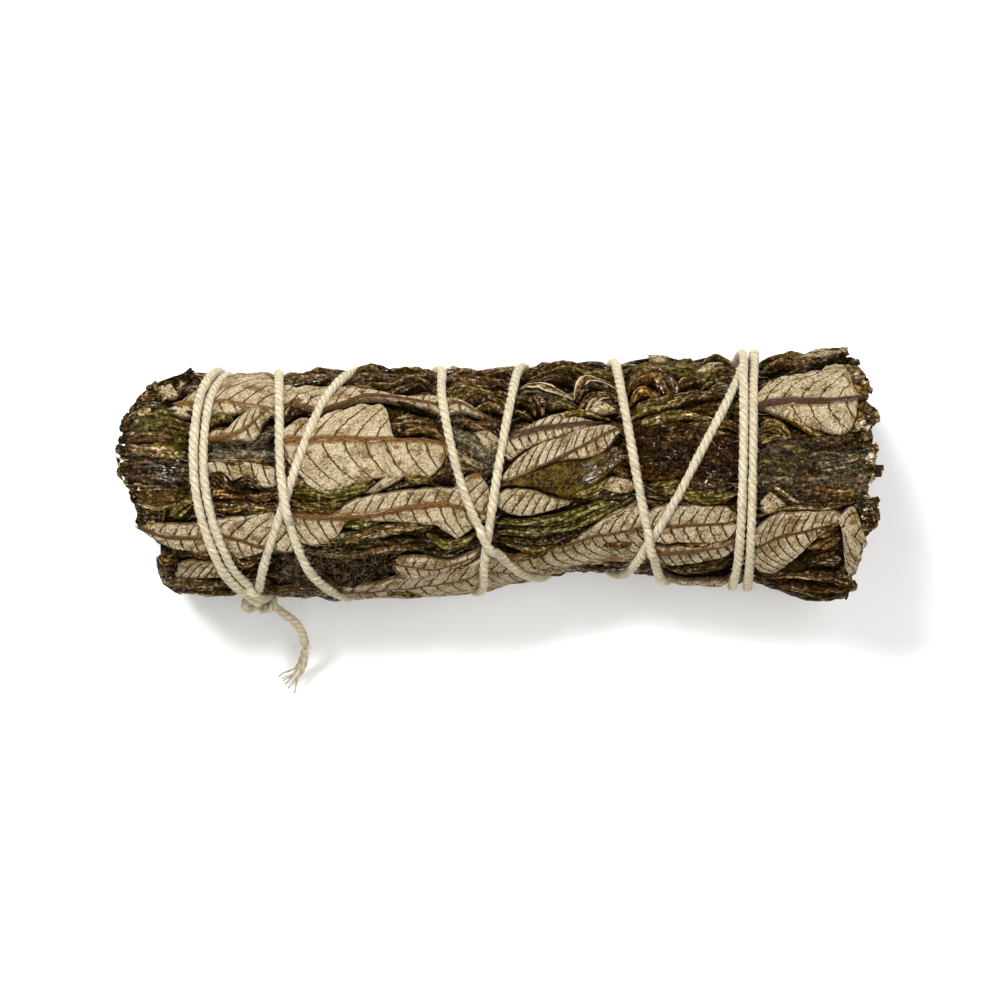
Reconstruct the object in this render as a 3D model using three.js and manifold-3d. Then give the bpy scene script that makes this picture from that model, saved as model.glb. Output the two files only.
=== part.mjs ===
// A bunch of dried sage, bound with cotton twine and lying on its side.
//
// Long leathery leaves and a few woody stems are gathered lengthwise and pressed into a
// roll. One length of twine is wound along it and back in crossing turns and knotted, and
// both ends are cut straight. Dark leaves show their upper side, folded into ridges. Pale
// leaves show their woolly underside, with a raised midrib.
//
// Millimetres, +Z up, +X along the roll. The origin is on the flat spot that it rests on.
import * as THREE from "three";
import { mergeVertices } from "three/addons/utils/BufferGeometryUtils.js";
import Module from "manifold-3d";

const wasm = await Module();
wasm.setup();

// Driving sizes
const CORE_ENDS = [-44, 45]; // where the tightly packed middle ends
const OUTER_ENDS = [-45.5, 47]; // how far the outer leaves reach at most
const CORE_DEPTH = 2.1; // how far the packed middle lies below the outer leaves
const CORE_SLIVER = 0.15; // slivers left out of the packed mass
const REST_SINK = 0.5; // how far the underside is pressed flat
const GAP = 0.3; // air between neighbouring pieces
const WELD = 0.002; // corners closer than this are one corner
const SLIVER = 0.05; // thinner slivers than this are left out of a cut piece
const LEAF_THICKNESS = 1.1; // an outer leaf, dried and woolly
const ROOT_SINK = 0.8; // how deep a folded leaf is rooted in the packed middle
const LEAF_STEP = 4.8; // length of blade between two sections
const LEAST_LEAF_STEPS = 4;
const MIDRIB_WIDTH = 1.4;
const MIDRIB_RISE = 0.35;
const LEAF_DROOP = 0.25; // how far its edges turn down
const TWINE_RADIUS = 0.6;
const TWINE_HEIGHT = 0.4; // the twine's centre above the outer leaves
const CROSSING_LIFT = 1.45; // between two turns that cross
const CROSSING_REACH = 1.35; // turns closer than this along the roll bend round each other
const STEM_SIDES = 8;
const STEM_BEND = 0.8; // how far a stem bends aside in its middle
const STEM_BEND_ENDS = 30; // a stem is straight beyond this place
const FLOOR_SLAB = 8; // thickness of the block that presses the underside flat

// Stations along the roll: place, radius over the outer leaves, sideways drift.
const ROLL_SHAPE = [
  [-50, 14.3, -0.3],
  [-40, 14.9, -0.7],
  [-28, 15.0, -0.75],
  [-14, 15.2, -0.35],
  [-4, 14.9, -0.2],
  [2, 14.3, 0.8],
  [11, 13.8, 1.7],
  [22, 14.8, 1.25],
  [32, 15.3, 1.0],
  [41, 16.2, 0.4],
  [50, 16.6, 0.5],
];

// Outer leaves with the pale side out, as seen from above: where the midrib starts and
// ends (along, across), the blade's width, and how deep it lies under later leaves.
const PALE_LEAVES_ABOVE = [
  ["pale_leaf_top_left", [-42, 10.2], [-25.5, 9.4], 11, 0],
  ["pale_leaf_curled", [-39.5, 4.6], [-31, 7.2], 4, 0],
  ["pale_leaf_upper_strip", [-27.5, 12.4], [-1, 7.8], 6, 0],
  ["pale_leaf_broad", [-28, 5.2], [-6.5, 4.6], 10.5, 0],
  ["pale_leaf_left_middle", [-41, 1.0], [-29.5, 0.6], 4.5, 0],
  ["pale_leaf_left_low", [-48, -5.6], [-26.5, -9.2], 6.5, 0],
  ["pale_leaf_left_edge", [-43.5, -12.4], [-36, -12.9], 4, 0],
  ["pale_leaf_long", [-27, -4.2], [-1.5, -2.6], 7, 0],
  ["pale_leaf_low_strip", [-14, -11.2], [-2, -8.6], 4, 0],
  ["pale_leaf_low_edge", [-18, -14.3], [4, -13.2], 6, 0],
  ["pale_leaf_pair_upper", [3, 7.4], [16.5, 9.4], 4.6, 0],
  ["pale_leaf_pair_lower", [1, 1.4], [16.5, 6.6], 5.6, 0],
  ["pale_leaf_under_olive", [-0.5, -4.6], [9.5, -2.6], 4, 0],
  ["pale_leaf_low_middle", [3, -10.2], [19.5, -6.2], 7, 0],
  ["pale_leaf_right_strip", [21, -5.4], [32.5, -5.0], 4.4, 0],
  ["pale_leaf_right_low", [20.5, -10.4], [32, -9.4], 5, 0],
  ["pale_leaf_top_right", [33.5, 9.4], [47.6, 10.8], 10.5, 0],
  ["pale_leaf_right_end", [34.5, -9.6], [47, -4.4], 7.5, 0],
];

// Rows of pale leaves on the hidden side: angle round the roll from the top in degrees,
// the places where each leaf of the row starts and ends.
const PALE_ROWS_BELOW = [
  [112, [[-44, -21], [-4, 20]]],
  [146, [[-24, 0], [13, 39]]],
  [180, [[-28, -17], [-8, 5], [15, 26], [36.5, 47]]],
  [214, [[-26, -2], [5, 32]]],
  [248, [[-15, 9], [24, 47]]],
];
const HIDDEN_LEAF_WIDTH = [6.5, 8.5];

// Woody stems: where each runs across the roll (across, height over the rest face), its
// radius, and where its two ends stand out of the cut faces.
const STEMS = [
  [1.2, 15.6, 1.1, -45.5, 51.2],
  [8.6, 20.2, 0.95, -47.5, 50.2],
  [-5.4, 19.4, 1.2, -49.8, 50.4],
  [-3.2, 9.2, 1.3, -50.6, 47.5],
  [6.6, 9.8, 1.0, -49.0, 49.6],
];

// The twine's route: degrees wound round the roll, counted from the top towards +Y, and
// the place along the roll. It starts at the knot, goes right in wide turns, round twice
// at the right end, and back over itself.
const TWINE_ROUTE = [
  [-90, -32.5], [-45, -31.2], [0, -27.7], [45, -23.6], [90, -18.5], [180, -10.6],
  [270, -2.8], [315, -2.0], [360, -0.4], [405, 1.5], [450, 3.0], [540, 7.8],
  [630, 15.6], [675, 19.4], [720, 25.2], [765, 30.7], [810, 33.0], [900, 34.4],
  [990, 33.0], [1035, 33.1], [1080, 33.3], [1125, 33.5], [1170, 33.9], [1260, 32.8],
  [1350, 31.0], [1395, 31.6], [1440, 32.0], [1485, 32.2], [1530, 32.1], [1620, 27.4],
  [1710, 22.0], [1755, 20.1], [1800, 17.9], [1845, 16.1], [1890, 15.1], [1980, 12.2],
  [2070, 5.6], [2115, -0.3], [2160, -5.2], [2205, -7.6], [2250, -8.1], [2340, -14.6],
  [2430, -20.2], [2475, -25.7], [2520, -28.7], [2565, -29.2], [2610, -29.5], [2700, -30.0],
  [2790, -30.7], [2835, -35.7], [2880, -38.9], [2925, -38.6], [2970, -36.2], [3060, -33.9],
  [3150, -32.0], [3195, -37.0], [3240, -40.2], [3285, -39.9], [3330, -37.5], [3420, -35.3],
  [3510, -33.3],
];
const TWINE_SIDES = 8;
const TWINE_STEP = 22.5; // degrees between two sections
const GROOVE_SIDES = 5; // the groove that the twine presses into the leaves
const GROOVE_RADIUS = (TWINE_RADIUS + GAP) / Math.cos(Math.PI / GROOVE_SIDES);
// The free end, from the knot down to the surface: along, across, height.
const TWINE_TAIL = [
  [-31.2, -16.2, 13.6],
  [-29.2, -17.6, 13.2],
  [-27.0, -19.6, 10.6],
  [-26.2, -22.2, 6.6],
  [-26.8, -24.8, 3.0],
  [-28.8, -27.4, 0.75],
];

const FOLDED_LEAVES_ROUND = 11;
const FOLDED_LEAVES_ALONG = 3;
// Rings of cut leaf ends: share of the roll's radius, how many, how far they stand out.
const CUT_RINGS = [
  [0.84, 7, 3.2],
  [0.58, 5, 4.8],
  [0.26, 2, 5.0],
];
const CUT_WIDTH = [4.5, 7];
const CUT_THICKNESS = 0.9;
const CUT_ROOT = 3;

const toRadians = THREE.MathUtils.degToRad;
const lerp = THREE.MathUtils.lerp;

// A seeded draw between two limits, the same on every run.
function drawsFrom(seed) {
  let state = seed;
  return (low, high) => {
    state = (state * 1664525 + 1013904223) % 4294967296;
    return low + (high - low) * (state / 4294967296);
  };
}

// Column 1 or 2 of ROLL_SHAPE at x, eased from station to station.
function rollShape(x, column) {
  const last = ROLL_SHAPE.length - 1;
  if (x <= ROLL_SHAPE[0][0]) return ROLL_SHAPE[0][column];
  if (x >= ROLL_SHAPE[last][0]) return ROLL_SHAPE[last][column];
  const i = ROLL_SHAPE.findIndex((station) => station[0] > x);
  const [a, b] = [ROLL_SHAPE[i - 1], ROLL_SHAPE[i]];
  return lerp(a[column], b[column], THREE.MathUtils.smoothstep(x, a[0], b[0]));
}

const rollRadius = (x) => rollShape(x, 1);
const rollSideways = (x) => rollShape(x, 2);

// The point at x, at an angle round the roll from the top, and at a height over its
// outer leaves.
function onRoll(x, angle, height) {
  const r = rollRadius(x) + height;
  return new THREE.Vector3(
    x,
    rollSideways(x) + r * Math.sin(angle),
    rollRadius(x) - REST_SINK + r * Math.cos(angle),
  );
}

// The angle round the roll of what is seen from above at (x, y).
function angleSeenAt(x, y) {
  return Math.asin(THREE.MathUtils.clamp((y - rollSideways(x)) / rollRadius(x), -1, 1));
}

// A closed solid through rings of points, each ring with the same even number. The
// second half of a ring mirrors the first, and both are split into triangles alike.
function loft(rings) {
  const around = rings[0].length;
  const half = around / 2;
  const corners = rings.flat().flatMap((p) => [p.x, p.y, p.z]);
  const faces = [];
  for (let i = 0; i + 1 < rings.length; i++) {
    for (let j = 0; j < around; j++) {
      const next = (j + 1) % around;
      const [a, b] = [i * around + j, i * around + next];
      const [c, d] = [a + around, b + around];
      if (j < half) faces.push(a, c, b, b, c, d);
      else faces.push(a, c, d, a, d, b);
    }
  }
  const end = (rings.length - 1) * around;
  for (let j = 0; j + 1 < half; j++) {
    const [a, b, c, d] = [j, j + 1, around - 2 - j, around - 1 - j];
    faces.push(a, b, c, a, c, d);
    faces.push(end + a, end + c, end + b, end + a, end + d, end + c);
  }
  const geometry = new THREE.BufferGeometry();
  geometry.setAttribute("position", new THREE.Float32BufferAttribute(corners, 3));
  geometry.setIndex(faces);
  return geometry;
}

// A geometry as a solid that can be joined and cut.
function solidOf(geometry) {
  const bare = geometry.clone();
  bare.deleteAttribute("normal");
  bare.deleteAttribute("uv");
  const merged = mergeVertices(bare, WELD);
  return new wasm.Manifold(
    new wasm.Mesh({
      numProp: 3,
      vertProperties: new Float32Array(merged.attributes.position.array),
      triVerts: new Uint32Array(merged.index.array),
    }),
  );
}

const joined = (solids) => solids.reduce((all, one) => all.add(one));

// A solid's corners and faces as a geometry.
function geometryOf(solid) {
  const { numProp, vertProperties, triVerts } = solid.getMesh();
  const corners = new Float32Array((vertProperties.length / numProp) * 3);
  for (let i = 0; i < corners.length / 3; i++) {
    corners.set(vertProperties.subarray(i * numProp, i * numProp + 3), i * 3);
  }
  const geometry = new THREE.BufferGeometry();
  geometry.setAttribute("position", new THREE.BufferAttribute(corners, 3));
  geometry.setIndex(new THREE.BufferAttribute(triVerts, 1));
  return geometry;
}

// The largest body of a solid, without the scraps and sealed gaps that a cut leaves.
function largestBody(solid, sliver = SLIVER) {
  const bodies = solidOf(geometryOf(solid.simplify(sliver))).decompose();
  return bodies.reduce((a, b) => (b.volume() > a.volume() ? b : a));
}

// Half the width of a leaf at a share s of its length: blunt base, waved edge, narrow tip.
function leafHalfWidth(s, width) {
  const outline = Math.sin(Math.PI * (0.14 + 0.78 * s)) ** 0.8;
  return (width / 2) * outline * (1 + 0.1 * Math.sin(23 * s + width));
}

// An outer leaf on the roll: a curved blade with a raised midrib and its edges turned
// down. It runs from one (x, angle) to another, and margin makes it larger all round.
function leafBlade(from, to, width, depth, margin) {
  const steps = Math.max(LEAST_LEAF_STEPS, Math.round((to[0] - from[0]) / LEAF_STEP));
  const outer = -depth + margin;
  const inner = -depth - LEAF_THICKNESS - margin;
  const reach = margin / Math.hypot(to[0] - from[0], 1);
  const rings = [];
  for (let i = 0; i <= steps; i++) {
    const s = lerp(-reach, 1 + reach, i / steps);
    const x = lerp(from[0], to[0], s);
    const middle = lerp(from[1], to[1], s);
    const half = leafHalfWidth(THREE.MathUtils.clamp(s, 0, 1), width) + margin;
    const rib = Math.min(MIDRIB_WIDTH / 2 + margin, half * 0.6);
    const section = [
      [-half, outer - LEAF_DROOP],
      [-rib, outer],
      [0, outer + MIDRIB_RISE],
      [rib, outer],
      [half, outer - LEAF_DROOP],
      [half, inner],
      [rib, inner],
      [0, inner],
      [-rib, inner],
      [-half, inner],
    ];
    rings.push(section.map(([across, up]) => onRoll(x, middle + across / rollRadius(x), up)));
  }
  return solidOf(loft(rings));
}

// Every pale leaf as [name, blade(margin)].
function paleLeaves() {
  const leaves = PALE_LEAVES_ABOVE.map(([name, a, b, width, depth]) => {
    const from = [a[0], angleSeenAt(...a)];
    const to = [b[0], angleSeenAt(...b)];
    return [name, (margin) => leafBlade(from, to, width, depth, margin)];
  });
  const draw = drawsFrom(7);
  for (const [degrees, places] of PALE_ROWS_BELOW) {
    places.forEach(([x0, x1], i) => {
      const width = draw(...HIDDEN_LEAF_WIDTH);
      const slant = toRadians(draw(-5, 5));
      const from = [x0, toRadians(degrees) - slant];
      const to = [x1, toRadians(degrees) + slant];
      const name = `pale_leaf_below_${degrees}_${i + 1}`;
      leaves.push([name, (margin) => leafBlade(from, to, width, 0, margin)]);
    });
  }
  return leaves;
}

// The packed middle of the roll: the leaves inside, pressed into one mass.
function packedMiddle() {
  const around = 18;
  const steps = 10;
  const rings = [];
  for (let i = 0; i <= steps; i++) {
    const x = lerp(...CORE_ENDS, i / steps);
    const ring = [];
    for (let j = 0; j < around; j++) {
      const angle = (2 * Math.PI * j) / around;
      ring.push(onRoll(x, angle, -CORE_DEPTH));
    }
    rings.push(ring);
  }
  return solidOf(loft(rings));
}

// A dark leaf folded lengthwise into a ridge, rooted in the packed middle. Its crest
// dips at both ends, unless an end is cut at the end of the roll.
function foldedLeaf(x0, x1, angle, slant, width, crest) {
  const steps = 4;
  const rings = [];
  for (let i = 0; i <= steps; i++) {
    const s = i / steps;
    const x = lerp(x0, x1, s);
    const cut = x < CORE_ENDS[0] || x > CORE_ENDS[1];
    const rise = cut ? 1 : Math.sin(Math.PI * (0.1 + 0.8 * s)) ** 0.6;
    const half = ((width / 2) * (0.45 + 0.55 * rise)) / rollRadius(x);
    const middle = angle + slant * (s - 0.5);
    const top = lerp(-CORE_DEPTH + 0.1, crest, rise);
    rings.push([
      onRoll(x, middle - half, -CORE_DEPTH - ROOT_SINK),
      onRoll(x, middle + half * 0.15, top),
      onRoll(x, middle + half, -CORE_DEPTH - ROOT_SINK),
      onRoll(x, middle, -CORE_DEPTH - 2 * ROOT_SINK),
    ]);
  }
  return solidOf(loft(rings));
}

// Folded leaves all round and all along the roll, in rows that overlap.
function foldedLeaves() {
  const draw = drawsFrom(21);
  const leaves = [];
  for (let row = 0; row < FOLDED_LEAVES_ALONG; row++) {
    for (let k = 0; k < FOLDED_LEAVES_ROUND; k++) {
      const turn = (k + 0.5 * (row % 2) + draw(-0.2, 0.2)) / FOLDED_LEAVES_ROUND;
      const middle = lerp(-33, 33, row / (FOLDED_LEAVES_ALONG - 1)) + draw(-4, 4);
      const half = draw(17, 22);
      const x0 = Math.max(middle - half, OUTER_ENDS[0] + draw(0, 2));
      const x1 = Math.min(middle + half, OUTER_ENDS[1] - draw(0, 2));
      const slant = toRadians(draw(-11, 11));
      const crest = draw(-0.9, -0.1);
      leaves.push(foldedLeaf(x0, x1, 2 * Math.PI * turn, slant, draw(5.4, 7.4), crest));
    }
  }
  return leaves;
}

// Cut leaf ends that stand out of both ends of the packed middle as curled strips, in
// rings. The inner rings reach further out than the outer ones.
function cutEnds() {
  const draw = drawsFrom(5);
  const steps = 3;
  const edges = [];
  for (const side of [-1, 1]) {
    const end = side < 0 ? CORE_ENDS[0] : CORE_ENDS[1];
    for (const [share, count, reach] of CUT_RINGS) {
      const ringRadius = rollRadius(end) * share;
      for (let k = 0; k < count; k++) {
        const start = 2 * Math.PI * (k / count + draw(-0.02, 0.02));
        const level = ringRadius - rollRadius(end) + draw(-0.6, 0.6);
        const sweep = draw(...CUT_WIDTH) / ringRadius;
        const [curl, twist] = [draw(0.3, 0.9), draw(-1.2, 1.2)];
        const [top, foot] = [end + side * (reach + draw(-1, 1)), end - side * CUT_ROOT];
        const rings = [];
        for (let i = 0; i <= steps; i++) {
          const s = i / steps;
          const middle = level + curl * Math.sin(Math.PI * s) + twist * (s - 0.5);
          const [out, into] = [middle + CUT_THICKNESS / 2, middle - CUT_THICKNESS / 2];
          const points = [[foot, out], [foot, into], [top, into], [top, out]];
          rings.push(points.map(([x, up]) => onRoll(x, start + side * sweep * s, up)));
        }
        edges.push(solidOf(loft(rings)));
      }
    }
  }
  return edges;
}

// A round section with flat sides.
function roundSection(radius, sides) {
  const corner = (k) => (2 * Math.PI * k) / sides;
  return new THREE.Shape(
    Array.from({ length: sides }, (_, k) =>
      new THREE.Vector2(radius * Math.cos(corner(k)), radius * Math.sin(corner(k))),
    ),
  );
}

function tubeAlong(curve, radius, sides, steps) {
  const section = roundSection(radius, sides);
  return new THREE.ExtrudeGeometry(section, { steps, extrudePath: curve, bevelEnabled: false });
}

// A woody stem through the whole roll, a little bent between its straight ends.
function stem([across, height, radius, x0, x1], margin) {
  const reach = margin > 0 ? 6 : 0;
  const places = [x0 - reach, -STEM_BEND_ENDS, -10, 10, STEM_BEND_ENDS, x1 + reach];
  const rings = places.map((x) => {
    const bend = Math.max(0, Math.cos((Math.PI / 2) * (x / STEM_BEND_ENDS)));
    const inside = Math.abs(x) < STEM_BEND_ENDS;
    const shift = inside ? STEM_BEND * bend * Math.sign(-across) : 0;
    return Array.from({ length: STEM_SIDES }, (_, k) => {
      const turn = (2 * Math.PI * k) / STEM_SIDES;
      const [y, z] = [Math.sin(turn), Math.cos(turn)];
      const r = radius + margin;
      return new THREE.Vector3(x, across + shift + r * y, height + shift * 0.4 + r * z);
    });
  });
  return solidOf(loft(rings));
}

// The place along the roll after so many degrees of winding, eased through the route.
function twinePlace(degrees) {
  const last = TWINE_ROUTE.length - 2;
  const found = TWINE_ROUTE.findIndex((p) => p[0] > degrees) - 1;
  const i = THREE.MathUtils.clamp(found < -1 ? last : found, 0, last);
  const point = (k) => TWINE_ROUTE[THREE.MathUtils.clamp(k, 0, last + 1)];
  const slope = (k) => (point(k + 1)[1] - point(k - 1)[1]) / (point(k + 1)[0] - point(k - 1)[0]);
  const [[d0, x0], [d1, x1]] = [point(i), point(i + 1)];
  const span = d1 - d0;
  const t = (degrees - d0) / span;
  const [t2, t3] = [t * t, t * t * t];
  return (
    (2 * t3 - 3 * t2 + 1) * x0 +
    (t3 - 2 * t2 + t) * span * slope(i) +
    (3 * t2 - 2 * t3) * x1 +
    (t3 - t2) * span * slope(i + 1)
  );
}

// How close, from 0 to 1, the twine passes to a turn that is a whole number of turns away
// on one side: the turns wound before it (side -1), or after it (side 1).
function twineCrossing(degrees, side) {
  const [first, last] = [TWINE_ROUTE[0][0], TWINE_ROUTE.at(-1)[0]];
  const inRoute = (place) => place >= first && place <= last;
  let closest = 0;
  for (const here of [degrees - TWINE_STEP / 2, degrees, degrees + TWINE_STEP / 2]) {
    for (let other = here + 360 * side; inRoute(other); other += 360 * side) {
      const apart = Math.abs(twinePlace(other) - twinePlace(here)) / CROSSING_REACH;
      closest = Math.max(closest, 1 - apart ** 4);
    }
  }
  return closest;
}

// The twine's centre after so many degrees. Where turns cross, the later one is lifted on
// the upper side, and the earlier one is pressed into the leaves on the underside, where
// the whole twine lies so deep that it stays clear of the surface below.
function twinePoint(degrees) {
  const x = twinePlace(degrees);
  const angle = toRadians(degrees);
  const upper = (1 + Math.cos(angle)) / 2;
  let height = TWINE_HEIGHT + CROSSING_LIFT * twineCrossing(degrees, -1) * upper;
  if (Math.cos(angle) < 0) {
    const most = (rollRadius(x) - REST_SINK - TWINE_RADIUS - 0.1) / -Math.cos(angle);
    height = Math.min(height, most - rollRadius(x));
  }
  return onRoll(x, angle, height - CROSSING_LIFT * twineCrossing(degrees, 1) * (1 - upper));
}

// A stretch of the twine as a curve, with its sections at equal angles round the roll, so
// that neighbouring turns bend at the same angles and stay clear of each other.
class TwineStretch extends THREE.Curve {
  constructor(start, end) {
    super();
    this.start = start;
    this.end = end;
  }

  getPoint(t, target = new THREE.Vector3()) {
    return target.copy(twinePoint(lerp(this.start, this.end, t)));
  }

  getUtoTmapping(u) {
    return u;
  }
}

function twineTube(start, end, radius, sides) {
  const steps = Math.round((end - start) / TWINE_STEP);
  return solidOf(tubeAlong(new TwineStretch(start, end), radius, sides, steps));
}

// The knot: two small loops drawn tight round the crossing ends.
function twineKnot(radius) {
  const place = onRoll(TWINE_ROUTE[0][1] + 0.4, toRadians(-92), 0.7);
  return [-0.5, 0.7].map((tilt) => {
    const loop = new THREE.TorusGeometry(1.1, radius, 6, 9);
    loop.rotateX(tilt);
    loop.rotateY(tilt * 0.8);
    loop.translate(place.x + tilt, place.y, place.z - tilt);
    return solidOf(loop);
  });
}

// The free end of the twine, which hangs from the knot to the surface.
function twineTail(radius, sides) {
  const curve = new THREE.CatmullRomCurve3(TWINE_TAIL.map((p) => new THREE.Vector3(...p)));
  return solidOf(tubeAlong(curve, radius, sides, 10));
}

function bindingTwine() {
  const [first, last] = [TWINE_ROUTE[0][0], TWINE_ROUTE.at(-1)[0]];
  return joined([
    twineTube(first, last, TWINE_RADIUS, TWINE_SIDES),
    ...twineKnot(TWINE_RADIUS),
    twineTail(TWINE_RADIUS, TWINE_SIDES),
  ]);
}

// The room that the leaves leave for the twine, joined half a turn at a time.
function twineGroove() {
  const pieces = [...twineKnot(GROOVE_RADIUS), twineTail(GROOVE_RADIUS, GROOVE_SIDES)];
  const last = TWINE_ROUTE.at(-1)[0];
  for (let start = TWINE_ROUTE[0][0]; start < last; start += 180) {
    const end = Math.min(start + 180 + TWINE_STEP, last);
    pieces.push(twineTube(start, end, GROOVE_RADIUS, GROOVE_SIDES));
  }
  return joined(pieces);
}

// Everything below the surface that the bunch rests on.
function underTheFloor() {
  const slab = new THREE.BoxGeometry(160, 120, FLOOR_SLAB);
  slab.translate(0, 0, -FLOOR_SLAB / 2);
  return solidOf(slab);
}

function meshOf(name, solid, material) {
  const geometry = geometryOf(solid);
  geometry.computeVertexNormals();
  const mesh = new THREE.Mesh(geometry, material);
  mesh.name = name;
  return mesh;
}

const finish = (colour, roughness) =>
  new THREE.MeshStandardMaterial({ color: colour, roughness, metalness: 0, flatShading: true });

const darkLeaf = finish(0x3a2f16, 0.5);
const paleLeaf = finish(0xbdb49c, 0.9);
const wood = finish(0x4a2c1a, 0.8);
const cotton = finish(0xe6dcc2, 0.95);

const bunch = new THREE.Group();
const floor = underTheFloor();
const twine = largestBody(bindingTwine());
const twineSpace = twineGroove();
const leaves = paleLeaves();
bunch.add(meshOf("binding_twine", twine, cotton));

// Earlier leaves in the list lie over later ones, and each makes room for those above it.
let leafSpace = null;
for (const [name, blade] of leaves) {
  let solid = blade(0).subtract(twineSpace).subtract(floor);
  if (leafSpace) solid = solid.subtract(leafSpace);
  bunch.add(meshOf(name, largestBody(solid), paleLeaf));
  leafSpace = leafSpace ? leafSpace.add(blade(GAP)) : blade(GAP);
}

const stemSpace = [];
STEMS.forEach((sizes, i) => {
  bunch.add(meshOf(`woody_stem_${i + 1}`, stem(sizes, 0), wood));
  stemSpace.push(stem(sizes, GAP));
});

const packed = joined([packedMiddle(), ...foldedLeaves(), ...cutEnds()]);
const cleared = packed
  .subtract(leafSpace)
  .subtract(twineSpace)
  .subtract(joined(stemSpace))
  .subtract(floor);
bunch.add(meshOf("folded_dark_leaves", largestBody(cleared, CORE_SLIVER), darkLeaf));

export default bunch;
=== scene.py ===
import bpy
import numpy as np
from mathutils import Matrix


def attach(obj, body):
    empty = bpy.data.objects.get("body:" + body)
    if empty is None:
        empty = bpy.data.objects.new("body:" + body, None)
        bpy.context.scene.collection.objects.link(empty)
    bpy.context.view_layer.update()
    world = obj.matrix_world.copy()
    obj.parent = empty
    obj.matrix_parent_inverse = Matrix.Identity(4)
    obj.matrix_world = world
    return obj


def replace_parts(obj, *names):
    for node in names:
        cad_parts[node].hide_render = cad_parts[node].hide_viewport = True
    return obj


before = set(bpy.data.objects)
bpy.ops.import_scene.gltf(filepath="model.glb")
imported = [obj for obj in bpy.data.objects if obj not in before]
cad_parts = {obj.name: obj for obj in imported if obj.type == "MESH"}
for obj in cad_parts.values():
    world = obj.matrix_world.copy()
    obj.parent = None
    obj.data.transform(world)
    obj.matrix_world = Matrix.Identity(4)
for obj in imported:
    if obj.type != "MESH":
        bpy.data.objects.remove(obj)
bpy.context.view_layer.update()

# Camera: the photograph looks straight down on the bunch, with its length across the
# picture. A long lens far above gives the same flat view, whose width is measured at the
# height of the roll's middle.
VIEW_WIDTH = 133.3
VIEW_CENTRE = (0.0, -2.67)
MIDDLE_HEIGHT = 16
LENS_HEIGHT = 1200.0
SENSOR = 36.0

camera = bpy.data.objects.new("camera", bpy.data.cameras.new("camera"))
camera.data.sensor_width = SENSOR
camera.data.lens = SENSOR * (LENS_HEIGHT - MIDDLE_HEIGHT) / VIEW_WIDTH
camera.data.clip_end = 10
camera.location = (VIEW_CENTRE[0] / 1000, VIEW_CENTRE[1] / 1000, LENS_HEIGHT / 1000)
bpy.context.scene.collection.objects.link(camera)
bpy.context.scene.camera = camera

# The roll: leaves and stems laid lengthwise and pressed round by the twine. Every piece
# is laid out on it, by the place along it, the angle from its top and a height over it.
MEAN_RADIUS = 14.9
REST_SINK = 0.5
FLOOR_CLEARANCE, CEILING = 0.03, 32.6
# Stations: place along the roll, radius over the outer leaves and sideways drift.
ROLL_STATIONS = np.array([
    [-50, 14.3, -0.3], [-40, 14.9, -0.7], [-28, 15.0, -0.75], [-14, 15.2, -0.35],
    [-4, 14.9, -0.2], [2, 14.3, 0.8], [11, 13.8, 1.7], [22, 14.8, 1.25],
    [32, 15.3, 1.0], [41, 16.2, 0.4], [50, 16.6, 0.5],
])


def roll_shape(x):
    """Radius and sideways drift at x: the stations' values, eased from one to the next."""
    last = len(ROLL_STATIONS) - 1
    station = np.clip(np.searchsorted(ROLL_STATIONS[:, 0], x, side="right"), 1, last)
    low, high = ROLL_STATIONS[station - 1], ROLL_STATIONS[station]
    share = np.clip((x - low[..., 0]) / (high[..., 0] - low[..., 0]), 0, 1)
    eased = (share * share * (3 - 2 * share))[..., None]
    shape = low + (high - low) * eased
    return shape[..., 1], shape[..., 2]


def on_roll(x, angle, height):
    """Points at x along the roll, at an angle round it from the top and at a height over
    its outer leaves: the radius plus the height, turned by the angle about the axis."""
    radius, drift = roll_shape(x)
    reach = radius + height
    z = radius - REST_SINK + reach * np.cos(angle)
    return np.stack([x, drift + reach * np.sin(angle), np.maximum(z, FLOOR_CLEARANCE)], -1)


def arc_at(x, y):
    """How far round the roll, in millimetres from the top, what is seen at (x, y) lies."""
    radius, drift = roll_shape(np.asarray(x, float))
    return radius * np.arcsin(np.clip((y - drift) / radius, -1, 1))


# The twine's route: it goes right in wide turns, round twice, and back over itself, and it
# presses a dip into the leaves under it, so every other piece needs to know where it is.
PRESSED_DEPTH, PRESSED_WIDTH = 0.75, 1.1
# Where the fall to the left and the right end starts, over what length and how deep.
LEFT_FALL, RIGHT_FALL = (-43.5, 7, 1.7), (45, 5, 1.0)
# Points: degrees wound round the roll, from the top towards +Y, and place along the roll.
TWINE_ROUTE = np.array([
    [-90, -32.5], [-45, -31.2], [0, -27.7], [45, -23.6], [90, -18.5], [180, -10.6],
    [270, -2.8], [315, -2.0], [360, -0.4], [405, 1.5], [450, 3.0], [540, 7.8],
    [630, 15.6], [675, 19.4], [720, 25.2], [765, 30.7], [810, 33.0], [900, 34.4],
    [990, 33.0], [1035, 33.1], [1080, 33.3], [1125, 33.5], [1170, 33.9], [1260, 32.8],
    [1350, 31.0], [1395, 31.6], [1440, 32.0], [1485, 32.2], [1530, 32.1], [1620, 27.4],
    [1710, 22.0], [1755, 20.1], [1800, 17.9], [1845, 16.1], [1890, 15.1], [1980, 12.2],
    [2070, 5.6], [2115, -0.3], [2160, -5.2], [2205, -7.6], [2250, -8.1], [2340, -14.6],
    [2430, -20.2], [2475, -25.7], [2520, -28.7], [2565, -29.2], [2610, -29.5], [2700, -30.0],
    [2790, -30.7], [2835, -35.7], [2880, -38.9], [2925, -38.6], [2970, -36.2], [3060, -33.9],
    [3150, -32.0], [3195, -37.0], [3240, -40.2], [3285, -39.9], [3330, -37.5], [3420, -35.3],
    [3510, -33.3],
])


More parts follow.
